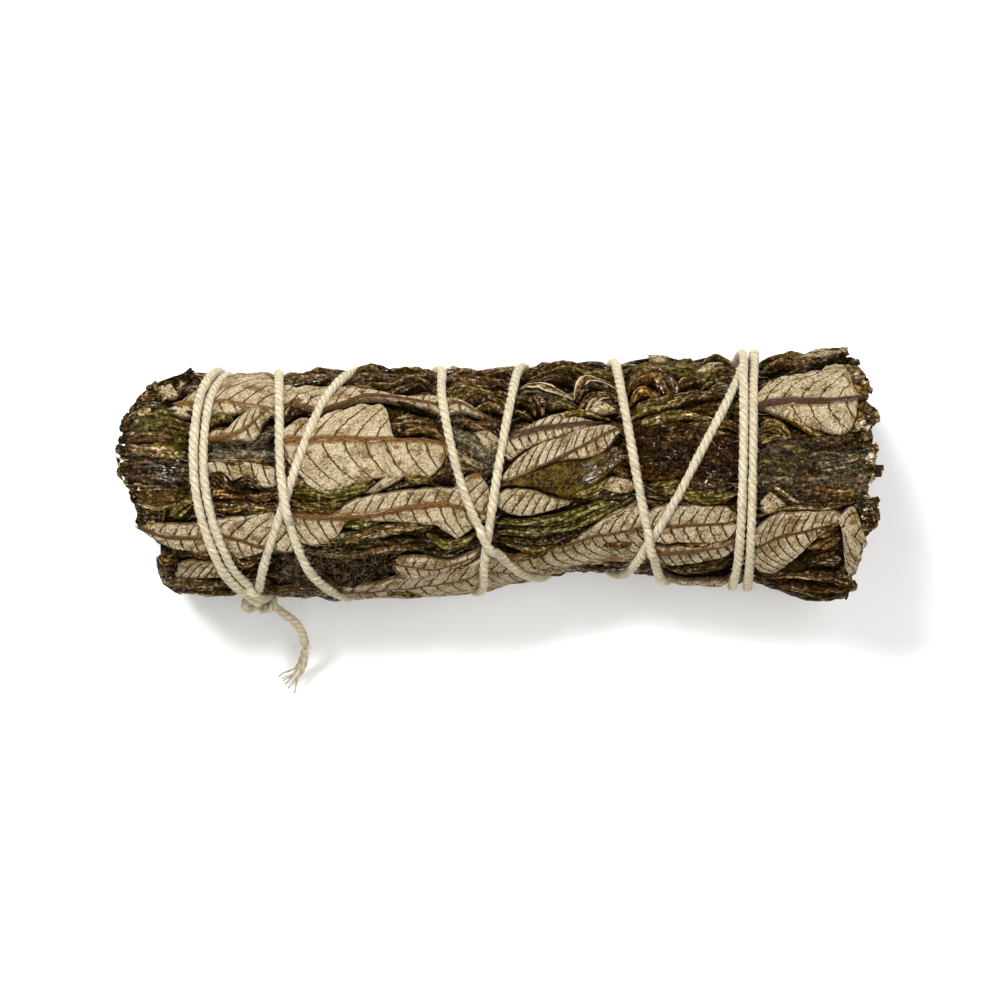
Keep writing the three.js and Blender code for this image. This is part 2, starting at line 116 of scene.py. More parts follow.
def twine_place(degrees):
    """Place along the roll after so many degrees: a cubic through the route's points."""
    turned, place = TWINE_ROUTE.T
    before = np.maximum(np.arange(len(turned)) - 1, 0)
    after = np.minimum(np.arange(len(turned)) + 1, len(turned) - 1)
    slope = (place[after] - place[before]) / (turned[after] - turned[before])
    i = np.clip(np.searchsorted(turned, degrees, side="right") - 1, 0, len(turned) - 2)
    span = turned[i + 1] - turned[i]
    t = (degrees - turned[i]) / span
    return ((2 * t**3 - 3 * t**2 + 1) * place[i] + (t**3 - 2 * t**2 + t) * span * slope[i]
            + (3 * t**2 - 2 * t**3) * place[i + 1] + (t**3 - t**2) * span * slope[i + 1])


def pressed(x, angle):
    """How far leaves lie below a plain roll: a round dip beside the nearest turn of twine,
    and a slow fall towards both ends."""
    degrees = (np.degrees(angle) + 90) % 360 - 90
    nearest = np.full(np.shape(x), np.inf)
    for turn in range(10):
        nearest = np.minimum(nearest, np.abs(x - twine_place(degrees + 360 * turn)))
    fall = 0
    for side, (start, length, depth) in ((-1, LEFT_FALL), (1, RIGHT_FALL)):
        fall = fall + depth * np.clip(side * (x - start) / length, 0, 1.2) ** 2
    return -PRESSED_DEPTH * np.exp(-((nearest / PRESSED_WIDTH) ** 2)) - fall


# Dark leaves: dried sage leaves lying between and over the pale ones, each folded
# lengthwise and pressed down by the twine, with the resinous upper side out. The large
# folds follow the photograph one by one, and smaller ones fill the rest of the roll.
LATTICE = np.random.default_rng(3).uniform(-1, 1, (97, 89))


def crinkle(u, v, octaves=3):
    """Smooth random heights: values on a lattice, eased from point to point, with finer
    and lower copies added."""
    total = 0
    for octave in range(octaves):
        a, b = u * 2**octave + 17.3 * octave, v * 2**octave + 31.7 * octave
        i, j = np.floor(a).astype(int), np.floor(b).astype(int)
        p, q = a - i, b - j
        p, q = p * p * (3 - 2 * p), q * q * (3 - 2 * q)
        rows, columns = LATTICE.shape
        i, i_next, j, j_next = i % rows, (i + 1) % rows, j % columns, (j + 1) % columns
        near = LATTICE[i, j] * (1 - q) + LATTICE[i, j_next] * q
        far = LATTICE[i_next, j] * (1 - q) + LATTICE[i_next, j_next] * q
        total = total + (near * (1 - p) + far * p) / 2**octave
    return total


def smooth_path(points, steps):
    """A cubic curve through a few points, taken at even steps."""
    points = np.asarray(points, float)
    padded = np.concatenate([2 * points[:1] - points[1:2], points, 2 * points[-1:] - points[-2:-1]])
    place = np.linspace(0, len(points) - 1.0001, steps)
    i = place.astype(int)
    t = (place - i)[:, None]
    a, b, c, d = (padded[i + k] for k in range(4))
    return b + 0.5 * t * (c - a + t * (2 * a - 5 * b + 4 * c - d + t * (3 * (b - c) + d - a)))


class Dye:
    """A shader value: a wrapped socket that is added, multiplied and compared like a
    number. Each step becomes a node."""

    def __init__(self, tree, socket=None):
        self.tree = tree
        self.socket = socket

    def node(self, kind, settings=None, values=None, out=0):
        """A new node with these settings, and these values or links in its sockets."""
        made = self.tree.nodes.new(kind)
        for name, value in (settings or {}).items():
            setattr(made, name, value)
        for name, value in (values or {}).items():
            if isinstance(value, Dye):
                self.tree.links.new(value.socket, made.inputs[name])
            else:
                made.inputs[name].default_value = value
        return Dye(self.tree, made.outputs[out] if len(made.outputs) else None)

    def maths(self, operation, *values):
        return self.node("ShaderNodeMath", {"operation": operation}, dict(enumerate(values)))

    def __add__(self, other):
        return self.maths("ADD", self, other)

    __radd__ = __add__

    def __mul__(self, other):
        return self.maths("MULTIPLY", self, other)

    __rmul__ = __mul__

    def __sub__(self, other):
        return self.maths("SUBTRACT", self, other)

    def __rsub__(self, other):
        return self.maths("SUBTRACT", other, self)

    def __truediv__(self, other):
        return self.maths("DIVIDE", self, other)

    def __abs__(self):
        return self.maths("ABSOLUTE", self)

    def fraction(self):
        return self.maths("FRACT", self)

    def rising(self, low, high):
        """0 below low, 1 above high and eased between them."""
        settings = {"interpolation_type": "SMOOTHSTEP"}
        return self.node("ShaderNodeMapRange", settings, {"Value": self, 1: low, 2: high})

    def mixed(self, first, second):
        """The first colour where this value is 0, and the second where it is 1."""
        first, second = [(*c, 1) if isinstance(c, tuple) else c for c in (first, second)]
        return self.node("ShaderNodeMix", {"data_type": "RGBA"},
                         {0: self, 6: first, 7: second}, out=2)

    def split(self):
        made = self.node("ShaderNodeSeparateXYZ", None, {0: self}).socket.node
        return [Dye(self.tree, output) for output in made.outputs]

    def joined(self, x, y, z=0.0):
        return self.node("ShaderNodeCombineXYZ", None, {0: x, 1: y, 2: z})

    def noise(self, where, scale, detail=3.0, roughness=0.6):
        return self.node("ShaderNodeTexNoise", None, {
            "Vector": where, "Scale": scale, "Detail": detail, "Roughness": roughness})

    def cell_edges(self, where, scale):
        """Distance to the nearest border of scattered cells."""
        return self.node("ShaderNodeTexVoronoi", {"feature": "DISTANCE_TO_EDGE"},
                         {"Vector": where, "Scale": scale})

    def place(self):
        """Where a point lies on its object, in metres."""
        return self.node("ShaderNodeTexCoord", out=3)

    def uv(self, name):
        return self.node("ShaderNodeUVMap", {"uv_map": name})

    def attribute(self, name, out=2):
        """An attribute of the mesh: output 2 is its number, and output 0 its colour."""
        return self.node("ShaderNodeAttribute", {"attribute_name": name}, out=out)


def new_material(name):
    """An empty material and a Dye that makes nodes in it."""
    material = bpy.data.materials.new(name)
    material.use_nodes = True
    material.node_tree.nodes.clear()
    return material, Dye(material.node_tree)


COAT_ROUGHNESS = 0.16


def finish_material(dye, colour, roughness, relief, depth, specular, coat=0.0):
    """Join the values to a shader, with a bump of relief times depth, in millimetres."""
    bump = dye.node("ShaderNodeBump", None, {"Height": relief, "Distance": depth / 1000})
    shader = dye.node("ShaderNodeBsdfPrincipled", None, {
        "Base Color": colour, "Roughness": roughness, "Normal": bump,
        "Specular IOR Level": specular, "Coat Weight": coat, "Coat Roughness": COAT_ROUGHNESS})
    dye.node("ShaderNodeOutputMaterial", None, {"Surface": shader})


def make_piece(name, points, faces, material, floats=None, uvs=None, tints=None):
    """A smooth mesh in metres from points in millimetres, with its point attributes."""
    mesh = bpy.data.meshes.new(name)
    mesh.from_pydata(np.asarray(points) / 1000, [], faces)
    mesh.polygons.foreach_set("use_smooth", np.ones(len(mesh.polygons), bool))
    corner = np.empty(len(mesh.loops), np.int32)
    mesh.loops.foreach_get("vertex_index", corner)
    for layer, values in (uvs or {}).items():
        mesh.uv_layers.new(name=layer).data.foreach_set("uv", values[corner].ravel())
    for layer, values in (floats or {}).items():
        mesh.attributes.new(layer, "FLOAT", "POINT").data.foreach_set("value", values)
    if tints is not None:
        colours = np.concatenate([tints, np.ones((len(tints), 1))], axis=1)
        mesh.attributes.new("tint", "FLOAT_COLOR", "POINT").data.foreach_set(
            "color", colours.ravel())
    mesh.materials.append(material)
    mesh.validate()
    piece = bpy.data.objects.new(name, mesh)
    bpy.context.scene.collection.objects.link(piece)
    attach(piece, "root")
    return piece


def loft_faces(rings, around, first=0):
    """Faces of a tube of rings: a quad between neighbours, and a polygon on each end."""
    i, j = np.meshgrid(np.arange(rings - 1), np.arange(around), indexing="ij")
    k = (j + 1) % around
    quads = np.stack([i * around + j, (i + 1) * around + j,
                      (i + 1) * around + k, i * around + k], -1).reshape(-1, 4) + first
    start = np.arange(around) + first
    return quads.tolist() + [start.tolist(), (start[::-1] + (rings - 1) * around).tolist()]


class Lofts:
    """Many lofts gathered into one mesh, with the attributes of their points."""

    def __init__(self):
        self.points, self.faces, self.layers, self.count = [], [], {}, 0

    def add(self, rings, **layers):
        """Add a loft through rings. Each layer has one value for all its points, or one
        for every point."""
        steps, around = rings.shape[:2]
        self.faces += loft_faces(steps, around, self.count)
        self.points.append(rings.reshape(-1, 3))
        self.count += steps * around
        for name, values in layers.items():
            values = np.asarray(values, float)
            if values.ndim < 2:
                values = np.broadcast_to(values, (steps, around, *values.shape))
            flat = values.reshape(-1, values.shape[-1]) if values.ndim == 3 else values.reshape(-1)
            self.layers.setdefault(name, []).append(flat)

    def layer(self, name):
        return np.concatenate(self.layers[name])

    def piece(self, name, material, slot, floats=(), uvs=(), tint=False):
        return make_piece(
            name, np.concatenate(self.points), self.faces, material,
            {each: self.layer(each) for each in floats},
            {each: self.layer(each) for each in uvs},
            self.layer("tint") if tint else None)


def leaf_section(x, arc, height, thickness, below):
    """Closed sections of a leaf: its upper points, then those numbered in below again,
    lower by the thickness."""
    angle = arc / roll_shape(x)[0]
    height = height + pressed(x, angle)
    lower = on_roll(x, angle, height - thickness)[:, below]
    return np.concatenate([on_roll(x, angle, height), lower], axis=1)


def with_below(values, below):
    """Values of a leaf's upper points, and then of the points repeated below them."""
    return np.concatenate([values, values[:, below]], axis=1)


def round_section(points):
    """Length along each section, from its middle, so that patterns keep their size on
    steep sides too."""
    step = np.linalg.norm(np.diff(points, axis=1), axis=-1)
    length = np.concatenate([0 * step[:, :1], np.cumsum(step, axis=1)], axis=1)
    return length - length.mean(axis=1, keepdims=True)


# The colours of the dry leaves, from nearly black to cream.
TINTS = {
    "black": (0.016, 0.008, 0.0022), "umber": (0.056, 0.031, 0.009),
    "red": (0.062, 0.027, 0.006), "olive": (0.086, 0.058, 0.012),
    "moss": (0.062, 0.049, 0.009), "tan": (0.19, 0.128, 0.050),
    "grey": (0.066, 0.050, 0.028), "rust": (0.13, 0.054, 0.011), "cream": (0.38, 0.305, 0.18),
}
# The large folds as seen from above: tint, kind, half width, height, gloss and path. A
# ridge is one round fold, a sheet has several pleats, a strip is a ridge whose pale edges
# show, and a quiet one is a darker sheet with no flecks.
RIDGES = [
    ("moss", "sheet", 1.23, -0.15, 0.3, [(-50.2, 7.7), (-45.2, 7.7), (-40.5, 6.7)]),
    ("olive", "sheet", 0.94, -0.1, 0.3, [(-49.9, 9.4), (-45.2, 9.1), (-41.0, 8.2)]),
    ("tan", "sheet", 0.99, -0.1, 0.3, [(-50.4, 4.7), (-45.9, 4.2), (-40.5, 3.7)]),
    ("umber", "ridge", 0.74, -0.1, 0.3, [(-49.6, 5.8), (-45.2, 5.7), (-41.0, 5.2)]),
    ("black", "ridge", 1.18, -0.25, 0.8, [(-51.0, 1.9), (-45.9, 2.1), (-41.0, 1.6), (-38.5, 1.0)]),
    ("black", "ridge", 0.99, -0.2, 0.9, [(-50.7, 0.3), (-44.7, 0.4), (-39.3, 0.0), (-37.5, -0.7)]),
    ("umber", "ridge", 0.84, -0.3, 0.8, [(-50.1, -1.0), (-45.2, -0.8), (-39.5, -1.0)]),
    ("red", "sheet", 1.09, -0.2, 0.6, [(-49.3, -2.2), (-45.9, -2.3), (-42.5, -2.9)]),
    ("tan", "ridge", 0.3, 0.25, 0.4, [(-48.6, -2.9), (-45.4, -3.8), (-42.7, -3.2), (-42.2, -2.2)]),
    ("moss", "ridge", 0.94, -0.2, 0.6, [(-43.7, -5.2), (-42.2, -3.7), (-39.5, -2.4), (-38.5, -2.2)]),
    ("black", "ridge", 0.89, -0.3, 0.5, [(-48.0, -4.9), (-45.2, -4.7), (-42.7, -4.9)]),
    ("black", "ridge", 0.99, -0.4, 0.5, [(-48.2, -5.8), (-46.9, -5.2), (-45.4, -5.4)]),
    ("rust", "ridge", 0.25, 0.4, 0.3, [(-44.7, -3.8), (-44.6, -5.2), (-44.4, -6.2)]),
    ("red", "ridge", 0.74, -0.1, 0.6, [(-43.1, -9.3), (-38.5, -10.0), (-35.6, -10.8)]),
    ("red", "ridge", 1.09, 0.15, 0.6, [(-45.6, -10.2), (-44.0, -10.6), (-42.5, -11.4)]),
    ("umber", "ridge", 1.18, 0.1, 0.7, [(-45.2, -12.8), (-42.2, -13.5), (-38.0, -13.9), (-34.6, -14.3)]),
    ("black", "ridge", 0.74, -0.2, 0.7, [(-44.2, -14.2), (-40.5, -14.4), (-34.6, -14.8)]),
    ("tan", "ridge", 0.54, -0.3, 0.5, [(-43.1, -15.1), (-38.5, -15.5), (-33.6, -15.7)]),
    ("grey", "sheet", 1.28, -0.2, 0.3, [(-42.7, 11.9), (-40.0, 13.1), (-36.6, 14.1)]),
    ("umber", "ridge", 0.84, -0.2, 0.3, [(-46.7, 12.8), (-44.0, 13.5), (-41.0, 14.1)]),
    ("umber", "ridge", 0.74, -0.1, 0.3, [(-47.8, 10.5), (-45.2, 11.3), (-42.2, 10.9)]),
    ("grey", "ridge", 0.74, -0.2, 0.3, [(-48.6, 9.9), (-45.9, 10.0), (-43.0, 9.6)]),
    ("olive", "ridge", 0.84, 0.0, 0.3, [(-38.9, 7.9), (-37.1, 8.2), (-35.1, 8.4)]),
    ("grey", "sheet", 1.09, -0.15, 0.2, [(-39.1, 4.1), (-35.1, 3.2), (-29.7, 4.0)]),
    ("grey", "ridge", 0.74, -0.1, 0.3, [(-33.6, 4.2), (-31.1, 5.5), (-29.7, 6.7)]),
    ("olive", "ridge", 0.54, 0.0, 0.4, [(-39.0, 3.0), (-34.6, 2.4), (-29.7, 2.7)]),
    ("black", "ridge", 0.84, 0.1, 0.6, [(-38.5, 0.5), (-37.1, 0.3), (-35.6, -1.2), (-33.6, -1.8)]),
    ("black", "ridge", 0.84, 0.15, 0.6, [(-35.2, -1.0), (-33.6, -0.2), (-31.9, -0.6), (-30.9, -1.7)]),
    ("rust", "sheet", 0.84, 0.0, 0.3, [(-38.5, -2.2), (-36.3, -1.8), (-33.8, -2.2)]),
    ("red", "ridge", 0.64, 0.1, 0.6, [(-33.8, -2.2), (-31.1, -2.3), (-28.9, -1.7)]),
    ("black", "ridge", 0.99, -0.15, 0.7, [(-38.3, -3.3), (-34.1, -3.6), (-28.7, -3.2)]),
    ("olive", "ridge", 0.64, 0.1, 0.5, [(-37.5, -4.3), (-33.1, -3.7), (-28.7, -4.2)]),
    ("black", "ridge", 1.04, -0.3, 0.4, [(-36.1, -10.6), (-32.1, -10.5), (-28.7, -10.0)]),
    ("black", "quiet", 1.73, -0.35, 0.2, [(-36.1, -12.6), (-32.1, -12.6), (-28.2, -12.1)]),
    ("red", "ridge", 0.59, 0.0, 0.5, [(-36.3, -10.3), (-33.6, -11.2), (-29.7, -9.6)]),
    ("umber", "ridge", 0.74, -0.2, 0.5, [(-31.6, -15.5), (-28.7, -15.1), (-24.0, -14.6)]),
    ("olive", "ridge", 0.44, 0.1, 0.4, [(-30.4, -15.6), (-28.4, -15.1), (-26.7, -14.5)]),
    ("umber", "ridge", 0.64, 0.0, 0.3, [(-28.9, 8.8), (-27.2, 9.9), (-25.5, 11.5)]),
    ("black", "ridge", 0.74, -0.1, 0.3, [(-28.7, 8.2), (-26.7, 9.1), (-24.0, 9.4)]),
    ("umber", "ridge", 0.59, -0.1, 0.4, [(-28.7, 13.1), (-26.2, 13.8), (-24.0, 14.5)]),
    ("black", "ridge", 0.37, 0.28, 0.6, [(-22.5, 9.1), (-20.3, 9.8), (-18.0, 10.7), (-15.8, 10.7),
        (-13.4, 10.3), (-10.9, 9.6), (-8.2, 9.2)]),
    ("red", "ridge", 0.32, 0.2, 0.5, [(-26.7, 9.3), (-24.2, 9.2), (-21.7, 9.3)]),
    ("umber", "ridge", 1.04, -0.2, 0.3, [(-28.1, 14.0), (-23.0, 14.6), (-18.0, 14.5)]),
    ("umber", "sheet", 0.84, -0.25, 0.3, [(-26.7, 13.3), (-23.2, 13.8), (-18.5, 13.5), (-14.8, 12.6)]),
    ("olive", "ridge", 0.74, -0.15, 0.5, [(-18.0, 14.7), (-14.3, 14.8), (-10.9, 14.9), (-6.9, 14.7)]),
    ("umber", "ridge", 0.99, -0.1, 0.5, [(-17.3, 13.5), (-14.8, 12.8), (-11.4, 13.5), (-8.4, 13.1)]),
    ("black", "ridge", 0.84, -0.1, 0.6, [(-16.3, 12.1), (-12.9, 12.2), (-9.9, 12.5), (-6.9, 11.9)]),
    ("umber", "sheet", 1.13, -0.2, 0.4, [(-8.4, 12.6), (-4.5, 12.4), (0.5, 12.8)]),
    ("umber", "sheet", 0.84, -0.2, 0.5, [(-8.4, 14.1), (-4.5, 14.1), (2.2, 13.8)]),
    ("red", "ridge", 0.49, -0.05, 0.5, [(-7.4, 14.5), (-3.2, 14.3), (1.9, 14.5)]),
    ("olive", "ridge", 0.59, 0.0, 0.4, [(-5.2, 11.2), (-2.7, 11.7), (0.2, 11.4)]),
    ("black", "ridge", 0.64, -0.1, 0.5, [(-5.5, 10.5), (-2.5, 10.8), (0.7, 10.5)]),
    ("olive", "ridge", 0.59, -0.1, 0.4, [(-4.0, 9.5), (-1.8, 9.9), (1.0, 9.6)]),
    ("umber", "sheet", 1.53, -0.35, 0.15, [(-14.8, 8.2), (-11.4, 8.0), (-7.4, 7.7)]),
    ("black", "ridge", 0.74, -0.1, 0.4, [(-15.1, 6.7), (-12.9, 6.3), (-10.9, 6.7)]),
    ("red", "ridge", 0.64, 0.15, 0.6, [(-14.3, 5.2), (-12.4, 6.2), (-9.9, 6.6), (-7.7, 5.5),
        (-6.7, 4.2)]),
    ("umber", "ridge", 0.94, 0.35, 0.4, [(-22.2, 14.2), (-18.5, 14.4), (-14.8, 14.2)]),
    ("black", "ridge", 0.64, 0.45, 0.5, [(-21.0, 14.5), (-17.8, 14.7), (-13.8, 14.6)]),
    ("grey", "sheet", 1.73, -0.1, 0.3, [(-6.9, 7.2), (-4.5, 5.5), (-2.0, 3.0), (-0.8, 1.3)]),
    ("grey", "ridge", 1.09, 0.0, 0.4, [(-6.9, 4.7), (-5.0, 3.2), (-3.0, 2.2), (-1.0, 1.8)]),
    ("red", "ridge", 0.54, 0.15, 0.6, [(-6.2, 8.5), (-4.5, 7.7), (-2.5, 6.6), (-0.5, 6.2)]),
    ("red", "ridge", 0.49, 0.2, 0.6, [(-4.5, 7.9), (-2.0, 7.2), (0.5, 7.5)]),
    ("umber", "ridge", 0.74, 0.0, 0.4, [(-7.2, 2.7), (-5.7, 1.8), (-3.7, 1.5), (-1.0, 0.5)]),
    ("moss", "ridge", 0.99, -0.05, 0.5, [(-28.4, -1.7), (-25.2, -1.5), (-22.2, -1.9), (-18.3, -1.0),
        (-16.1, -0.0)]),
    ("black", "ridge", 0.49, 0.1, 0.4, [(-27.7, -2.6), (-24.5, -2.8), (-21.5, -2.6), (-18.5, -1.5)]),
    ("moss", "ridge", 0.64, 0.0, 0.4, [(-28.1, -3.3), (-24.7, -3.6), (-21.7, -3.3), (-19.3, -2.2)]),
    ("umber", "ridge", 0.49, 0.0, 0.4, [(-28.1, -4.0), (-25.2, -4.1), (-22.7, -4.3), (-20.8, -4.0)]),
    ("black", "ridge", 0.74, 0.2, 0.5, [(-9.1, -0.5), (-7.9, 0.8), (-6.4, 0.9), (-5.0, 0.3)]),
    ("black", "ridge", 0.49, 0.15, 0.5, [(-15.1, -1.4), (-12.4, -0.6), (-9.9, -0.2), (-7.9, -1.0)]),
    ("olive", "ridge", 0.44, 0.2, 0.5, [(-12.9, 0.3), (-10.9, -0.1), (-8.4, 0.1)]),
    ("moss", "ridge", 0.64, 0.15, 0.6, [(-20.8, -6.5), (-19.5, -5.9), (-17.8, -5.8), (-15.8, -5.9)]),
    ("moss", "ridge", 0.99, 0.0, 0.8, [(-26.2, -9.1), (-22.0, -8.1), (-16.8, -7.1), (-12.9, -6.7),
        (-8.7, -6.6)]),
    ("olive", "ridge", 0.74, 0.1, 0.8, [(-25.2, -8.6), (-20.3, -7.9), (-16.3, -6.7), (-12.4, -6.3),
        (-8.9, -6.4)]),
    ("black", "ridge", 0.84, -0.05, 0.6, [(-25.7, -9.8), (-20.3, -9.0), (-14.8, -8.4), (-8.9, -8.6)]),
    ("umber", "ridge", 0.74, -0.1, 0.6, [(-25.2, -10.5), (-19.8, -10.0), (-13.8, -9.3), (-9.4, -9.5)]),
    ("olive", "ridge", 0.84, 0.05, 0.6, [(-9.7, -7.6), (-7.4, -8.6), (-5.5, -8.4), (-3.0, -7.4)]),
    ("black", "ridge", 0.74, 0.0, 0.6, [(-10.9, -9.6), (-7.9, -10.0), (-5.5, -9.3), (-2.7, -7.9)]),
    ("black", "quiet", 1.97, -0.3, 0.2, [(-26.7, -12.3), (-21.7, -11.9), (-17.3, -11.8), (-13.6, -11.6)]),
    ("black", "quiet", 1.48, -0.3, 0.2, [(-26.7, -14.0), (-21.7, -14.0), (-16.1, -14.2)]),
    ("umber", "ridge", 0.84, -0.3, 0.3, [(-25.7, -15.3), (-20.8, -15.0), (-15.3, -14.9)]),
    ("red", "ridge", 0.3, 0.3, 0.4, [(-13.8, -14.0), (-10.9, -13.2), (-7.4, -12.2), (-4.0, -10.9),
        (-3.0, -10.6)]),
    ("umber", "ridge", 0.84, -0.2, 0.4, [(-2.7, 14.1), (-0.2, 14.5), (2.8, 14.7), (5.5, 15.2)]),
    ("black", "ridge", 0.84, -0.1, 0.5, [(-2.7, 12.8), (0.3, 12.8), (3.2, 13.3)]),
    ("red", "ridge", 0.84, -0.25, 0.3, [(3.0, 14.7), (6.7, 15.2), (10.2, 15.3), (13.1, 15.1)]),
    ("olive", "ridge", 0.69, -0.15, 0.4, [(3.5, 14.2), (7.2, 14.7), (11.1, 14.7), (14.6, 15.1)]),
    ("black", "ridge", 1.09, -0.1, 0.5, [(3.0, 13.5), (6.7, 13.5), (10.2, 13.5)]),
    ("olive", "strip", 0.69, 0.25, 0.4, [(2.4, 13.0), (5.2, 12.3), (7.2, 11.7), (9.8, 11.2)]),
    ("black", "ridge", 1.09, -0.1, 0.8, [(2.8, 11.4), (5.5, 10.5), (7.9, 10.3), (10.4, 10.1)]),
    ("moss", "ridge", 0.64, 0.0, 0.6, [(5.5, 10.1), (7.9, 9.9), (10.4, 9.8)]),
    ("red", "ridge", 0.64, 0.15, 0.6, [(3.8, 11.5), (5.0, 10.4), (5.8, 8.8)]),
    ("black", "ridge", 0.84, -0.05, 0.5, [(-2.7, 11.9), (0.3, 11.6), (3.7, 10.4), (4.7, 9.1)]),
    ("olive", "ridge", 0.49, 0.0, 0.4, [(-2.7, 11.1), (-0.2, 10.8), (1.8, 9.6), (4.2, 8.7)]),
    ("olive", "ridge", 0.39, 0.1, 0.4, [(6.0, 8.8), (8.4, 8.4), (11.1, 8.7), (14.6, 8.4)]),
    ("red", "strip", 0.84, 0.15, 0.7, [(10.0, 11.6), (10.8, 12.8), (12.1, 13.5), (15.6, 13.3)]),
    ("black", "ridge", 0.59, 0.1, 0.7, [(10.2, 10.9), (11.1, 11.9), (13.1, 12.4), (15.6, 12.1)]),
    ("red", "strip", 0.59, 0.2, 0.6, [(11.1, 8.8), (12.1, 9.8), (13.6, 11.1), (15.6, 11.5)]),
    ("red", "ridge", 0.74, 0.05, 0.6, [(10.2, 9.6), (12.1, 10.9), (14.6, 11.5), (16.1, 11.1)]),
    ("red", "ridge", 1.53, 0.25, 0.6, [(16.7, 12.6), (18.5, 13.3), (20.8, 13.4), (22.7, 11.4)]),
    ("rust", "ridge", 0.74, 0.35, 0.5, [(17.1, 10.5), (19.0, 11.4), (21.5, 10.8)]),
    ("umber", "ridge", 0.74, 0.2, 0.6, [(20.3, 14.1), (22.0, 13.5), (23.2, 12.1), (22.9, 11.1)]),
    ("black", "sheet", 0.74, -0.1, 0.4, [(16.1, 14.7), (18.5, 14.9), (21.5, 14.7)]),
    ("olive", "ridge", 0.84, 0.0, 0.5, [(16.8, 8.4), (19.5, 9.3), (23.2, 10.3), (26.9, 11.4)]),
    ("umber", "ridge", 0.74, 0.0, 0.5, [(17.1, 9.4), (19.5, 10.0), (22.7, 10.9), (26.7, 12.4)]),
    ("umber", "ridge", 0.84, -0.1, 0.5, [(23.0, 12.6), (25.0, 13.1), (27.4, 13.6)]),
    ("umber", "sheet", 0.84, -0.1, 0.4, [(22.2, 15.1), (24.5, 15.9), (26.9, 16.1)]),
    ("olive", "ridge", 0.74, 0.0, 0.5, [(17.1, 7.2), (20.0, 7.7), (23.5, 8.4), (26.9, 8.8)]),
    ("tan", "ridge", 0.39, 0.15, 0.4, [(21.0, 7.9), (24.0, 8.5), (26.9, 8.4)]),
    ("umber", "sheet", 1.48, -0.1, 0.6, [(17.1, 5.5), (20.8, 6.2), (24.5, 6.2), (27.4, 5.2)]),
    ("red", "sheet", 1.48, -0.1, 0.7, [(17.8, 3.2), (21.0, 3.7), (24.5, 3.5), (26.9, 4.0)]),
    ("umber", "sheet", 1.23, -0.1, 0.7, [(18.3, 1.0), (21.5, 1.0), (25.0, 1.8), (27.4, 2.0)]),
    ("black", "ridge", 0.54, 0.1, 0.6, [(16.8, 6.2), (19.5, 6.6), (22.5, 6.9), (26.4, 6.7)]),
    ("olive", "ridge", 0.74, 0.1, 0.6, [(18.5, -1.5), (20.3, -1.0), (22.7, -0.6), (24.2, 0.3)]),
    ("olive", "ridge", 0.84, 0.0, 0.6, [(18.8, -2.3), (21.5, -1.8), (24.5, -1.9), (27.4, -1.7)]),
    ("black", "ridge", 0.49, 0.2, 0.5, [(18.8, -0.7), (20.5, -1.3), (22.7, -0.7)]),
    ("moss", "ridge", 0.74, 0.05, 0.6, [(-0.6, -6.3), (4.2, -5.7), (9.2, -4.7), (14.6, -2.8),
        (17.8, -1.7)]),
    ("black", "ridge", 0.59, 0.0, 0.6, [(-0.6, -6.9), (4.7, -6.4), (9.7, -5.3), (15.1, -3.6),
        (18.0, -2.3)]),
    ("moss", "ridge", 0.74, 0.1, 0.6, [(-0.5, -7.5), (4.7, -7.0), (9.7, -5.9), (14.6, -3.8),
        (18.0, -2.6)]),
    ("olive", "strip", 0.32, 0.3, 0.4, [(6.7, -6.4), (10.2, -5.5), (14.1, -3.8), (17.8, -2.5)]),
    ("black", "ridge", 0.84, 0.0, 0.6, [(-0.2, -8.4), (4.2, -8.4), (8.7, -7.6), (12.1, -6.4)]),
    ("olive", "ridge", 0.54, 0.1, 0.6, [(0.0, -9.0), (4.0, -9.2), (7.7, -8.5), (10.2, -7.6)]),
    ("tan", "strip", 0.3, 0.35, 0.4, [(11.5, -6.9), (13.6, -5.5), (16.1, -4.3), (18.0, -3.4)]),
    ("red", "ridge", 0.39, 0.3, 0.4, [(1.3, -11.1), (4.2, -9.8), (7.7, -8.6), (11.1, -7.6)]),
    ("red", "ridge", 0.59, 0.25, 0.4, [(12.1, -9.1), (14.1, -8.6), (16.6, -8.4), (18.3, -7.9)]),
    ("black", "ridge", 0.69, 0.2, 0.5, [(11.9, -11.1), (14.1, -11.0), (16.6, -11.1), (19.0, -11.3)]),
    ("olive", "ridge", 0.74, 0.15, 0.5, [(8.9, -2.3), (11.1, -1.7), (13.1, -1.0), (14.3, 0.3)]),
    ("black", "ridge", 0.64, 0.1, 0.5, [(10.6, -3.2), (13.1, -2.2), (16.1, -2.1), (18.0, -1.7)]),
    ("umber", "ridge", 0.84, 0.1, 0.8, [(13.9, 3.0), (15.3, 3.5), (17.1, 3.2)]),
    ("umber", "ridge", 0.74, 0.05, 0.5, [(14.6, 1.8), (16.1, 1.0), (17.8, 0.5)]),
    ("red", "ridge", 0.3, 0.3, 0.5, [(0.5, 6.2), (-1.2, 7.7), (-2.7, 8.9)]),
    ("black", "ridge", 0.84, 0.2, 0.6, [(34.2, 13.0), (38.1, 13.9), (42.3, 15.3), (46.2, 16.5)]),
    ("olive", "ridge", 0.89, -0.1, 0.4, [(34.6, 16.3), (38.1, 16.4), (41.1, 15.6), (43.5, 15.3)]),
    ("umber", "ridge", 0.84, -0.1, 0.4, [(34.4, 15.1), (38.1, 15.3), (41.6, 15.3)]),
    ("umber", "ridge", 0.84, -0.1, 0.4, [(26.3, 15.8), (28.7, 16.1), (31.7, 15.9)]),
    ("olive", "ridge", 0.84, 0.0, 0.4, [(26.3, 13.1), (28.7, 14.5), (31.7, 15.3)]),
    ("black", "ridge", 0.74, 0.0, 0.5, [(26.5, 12.4), (29.2, 13.3), (31.9, 14.2)]),
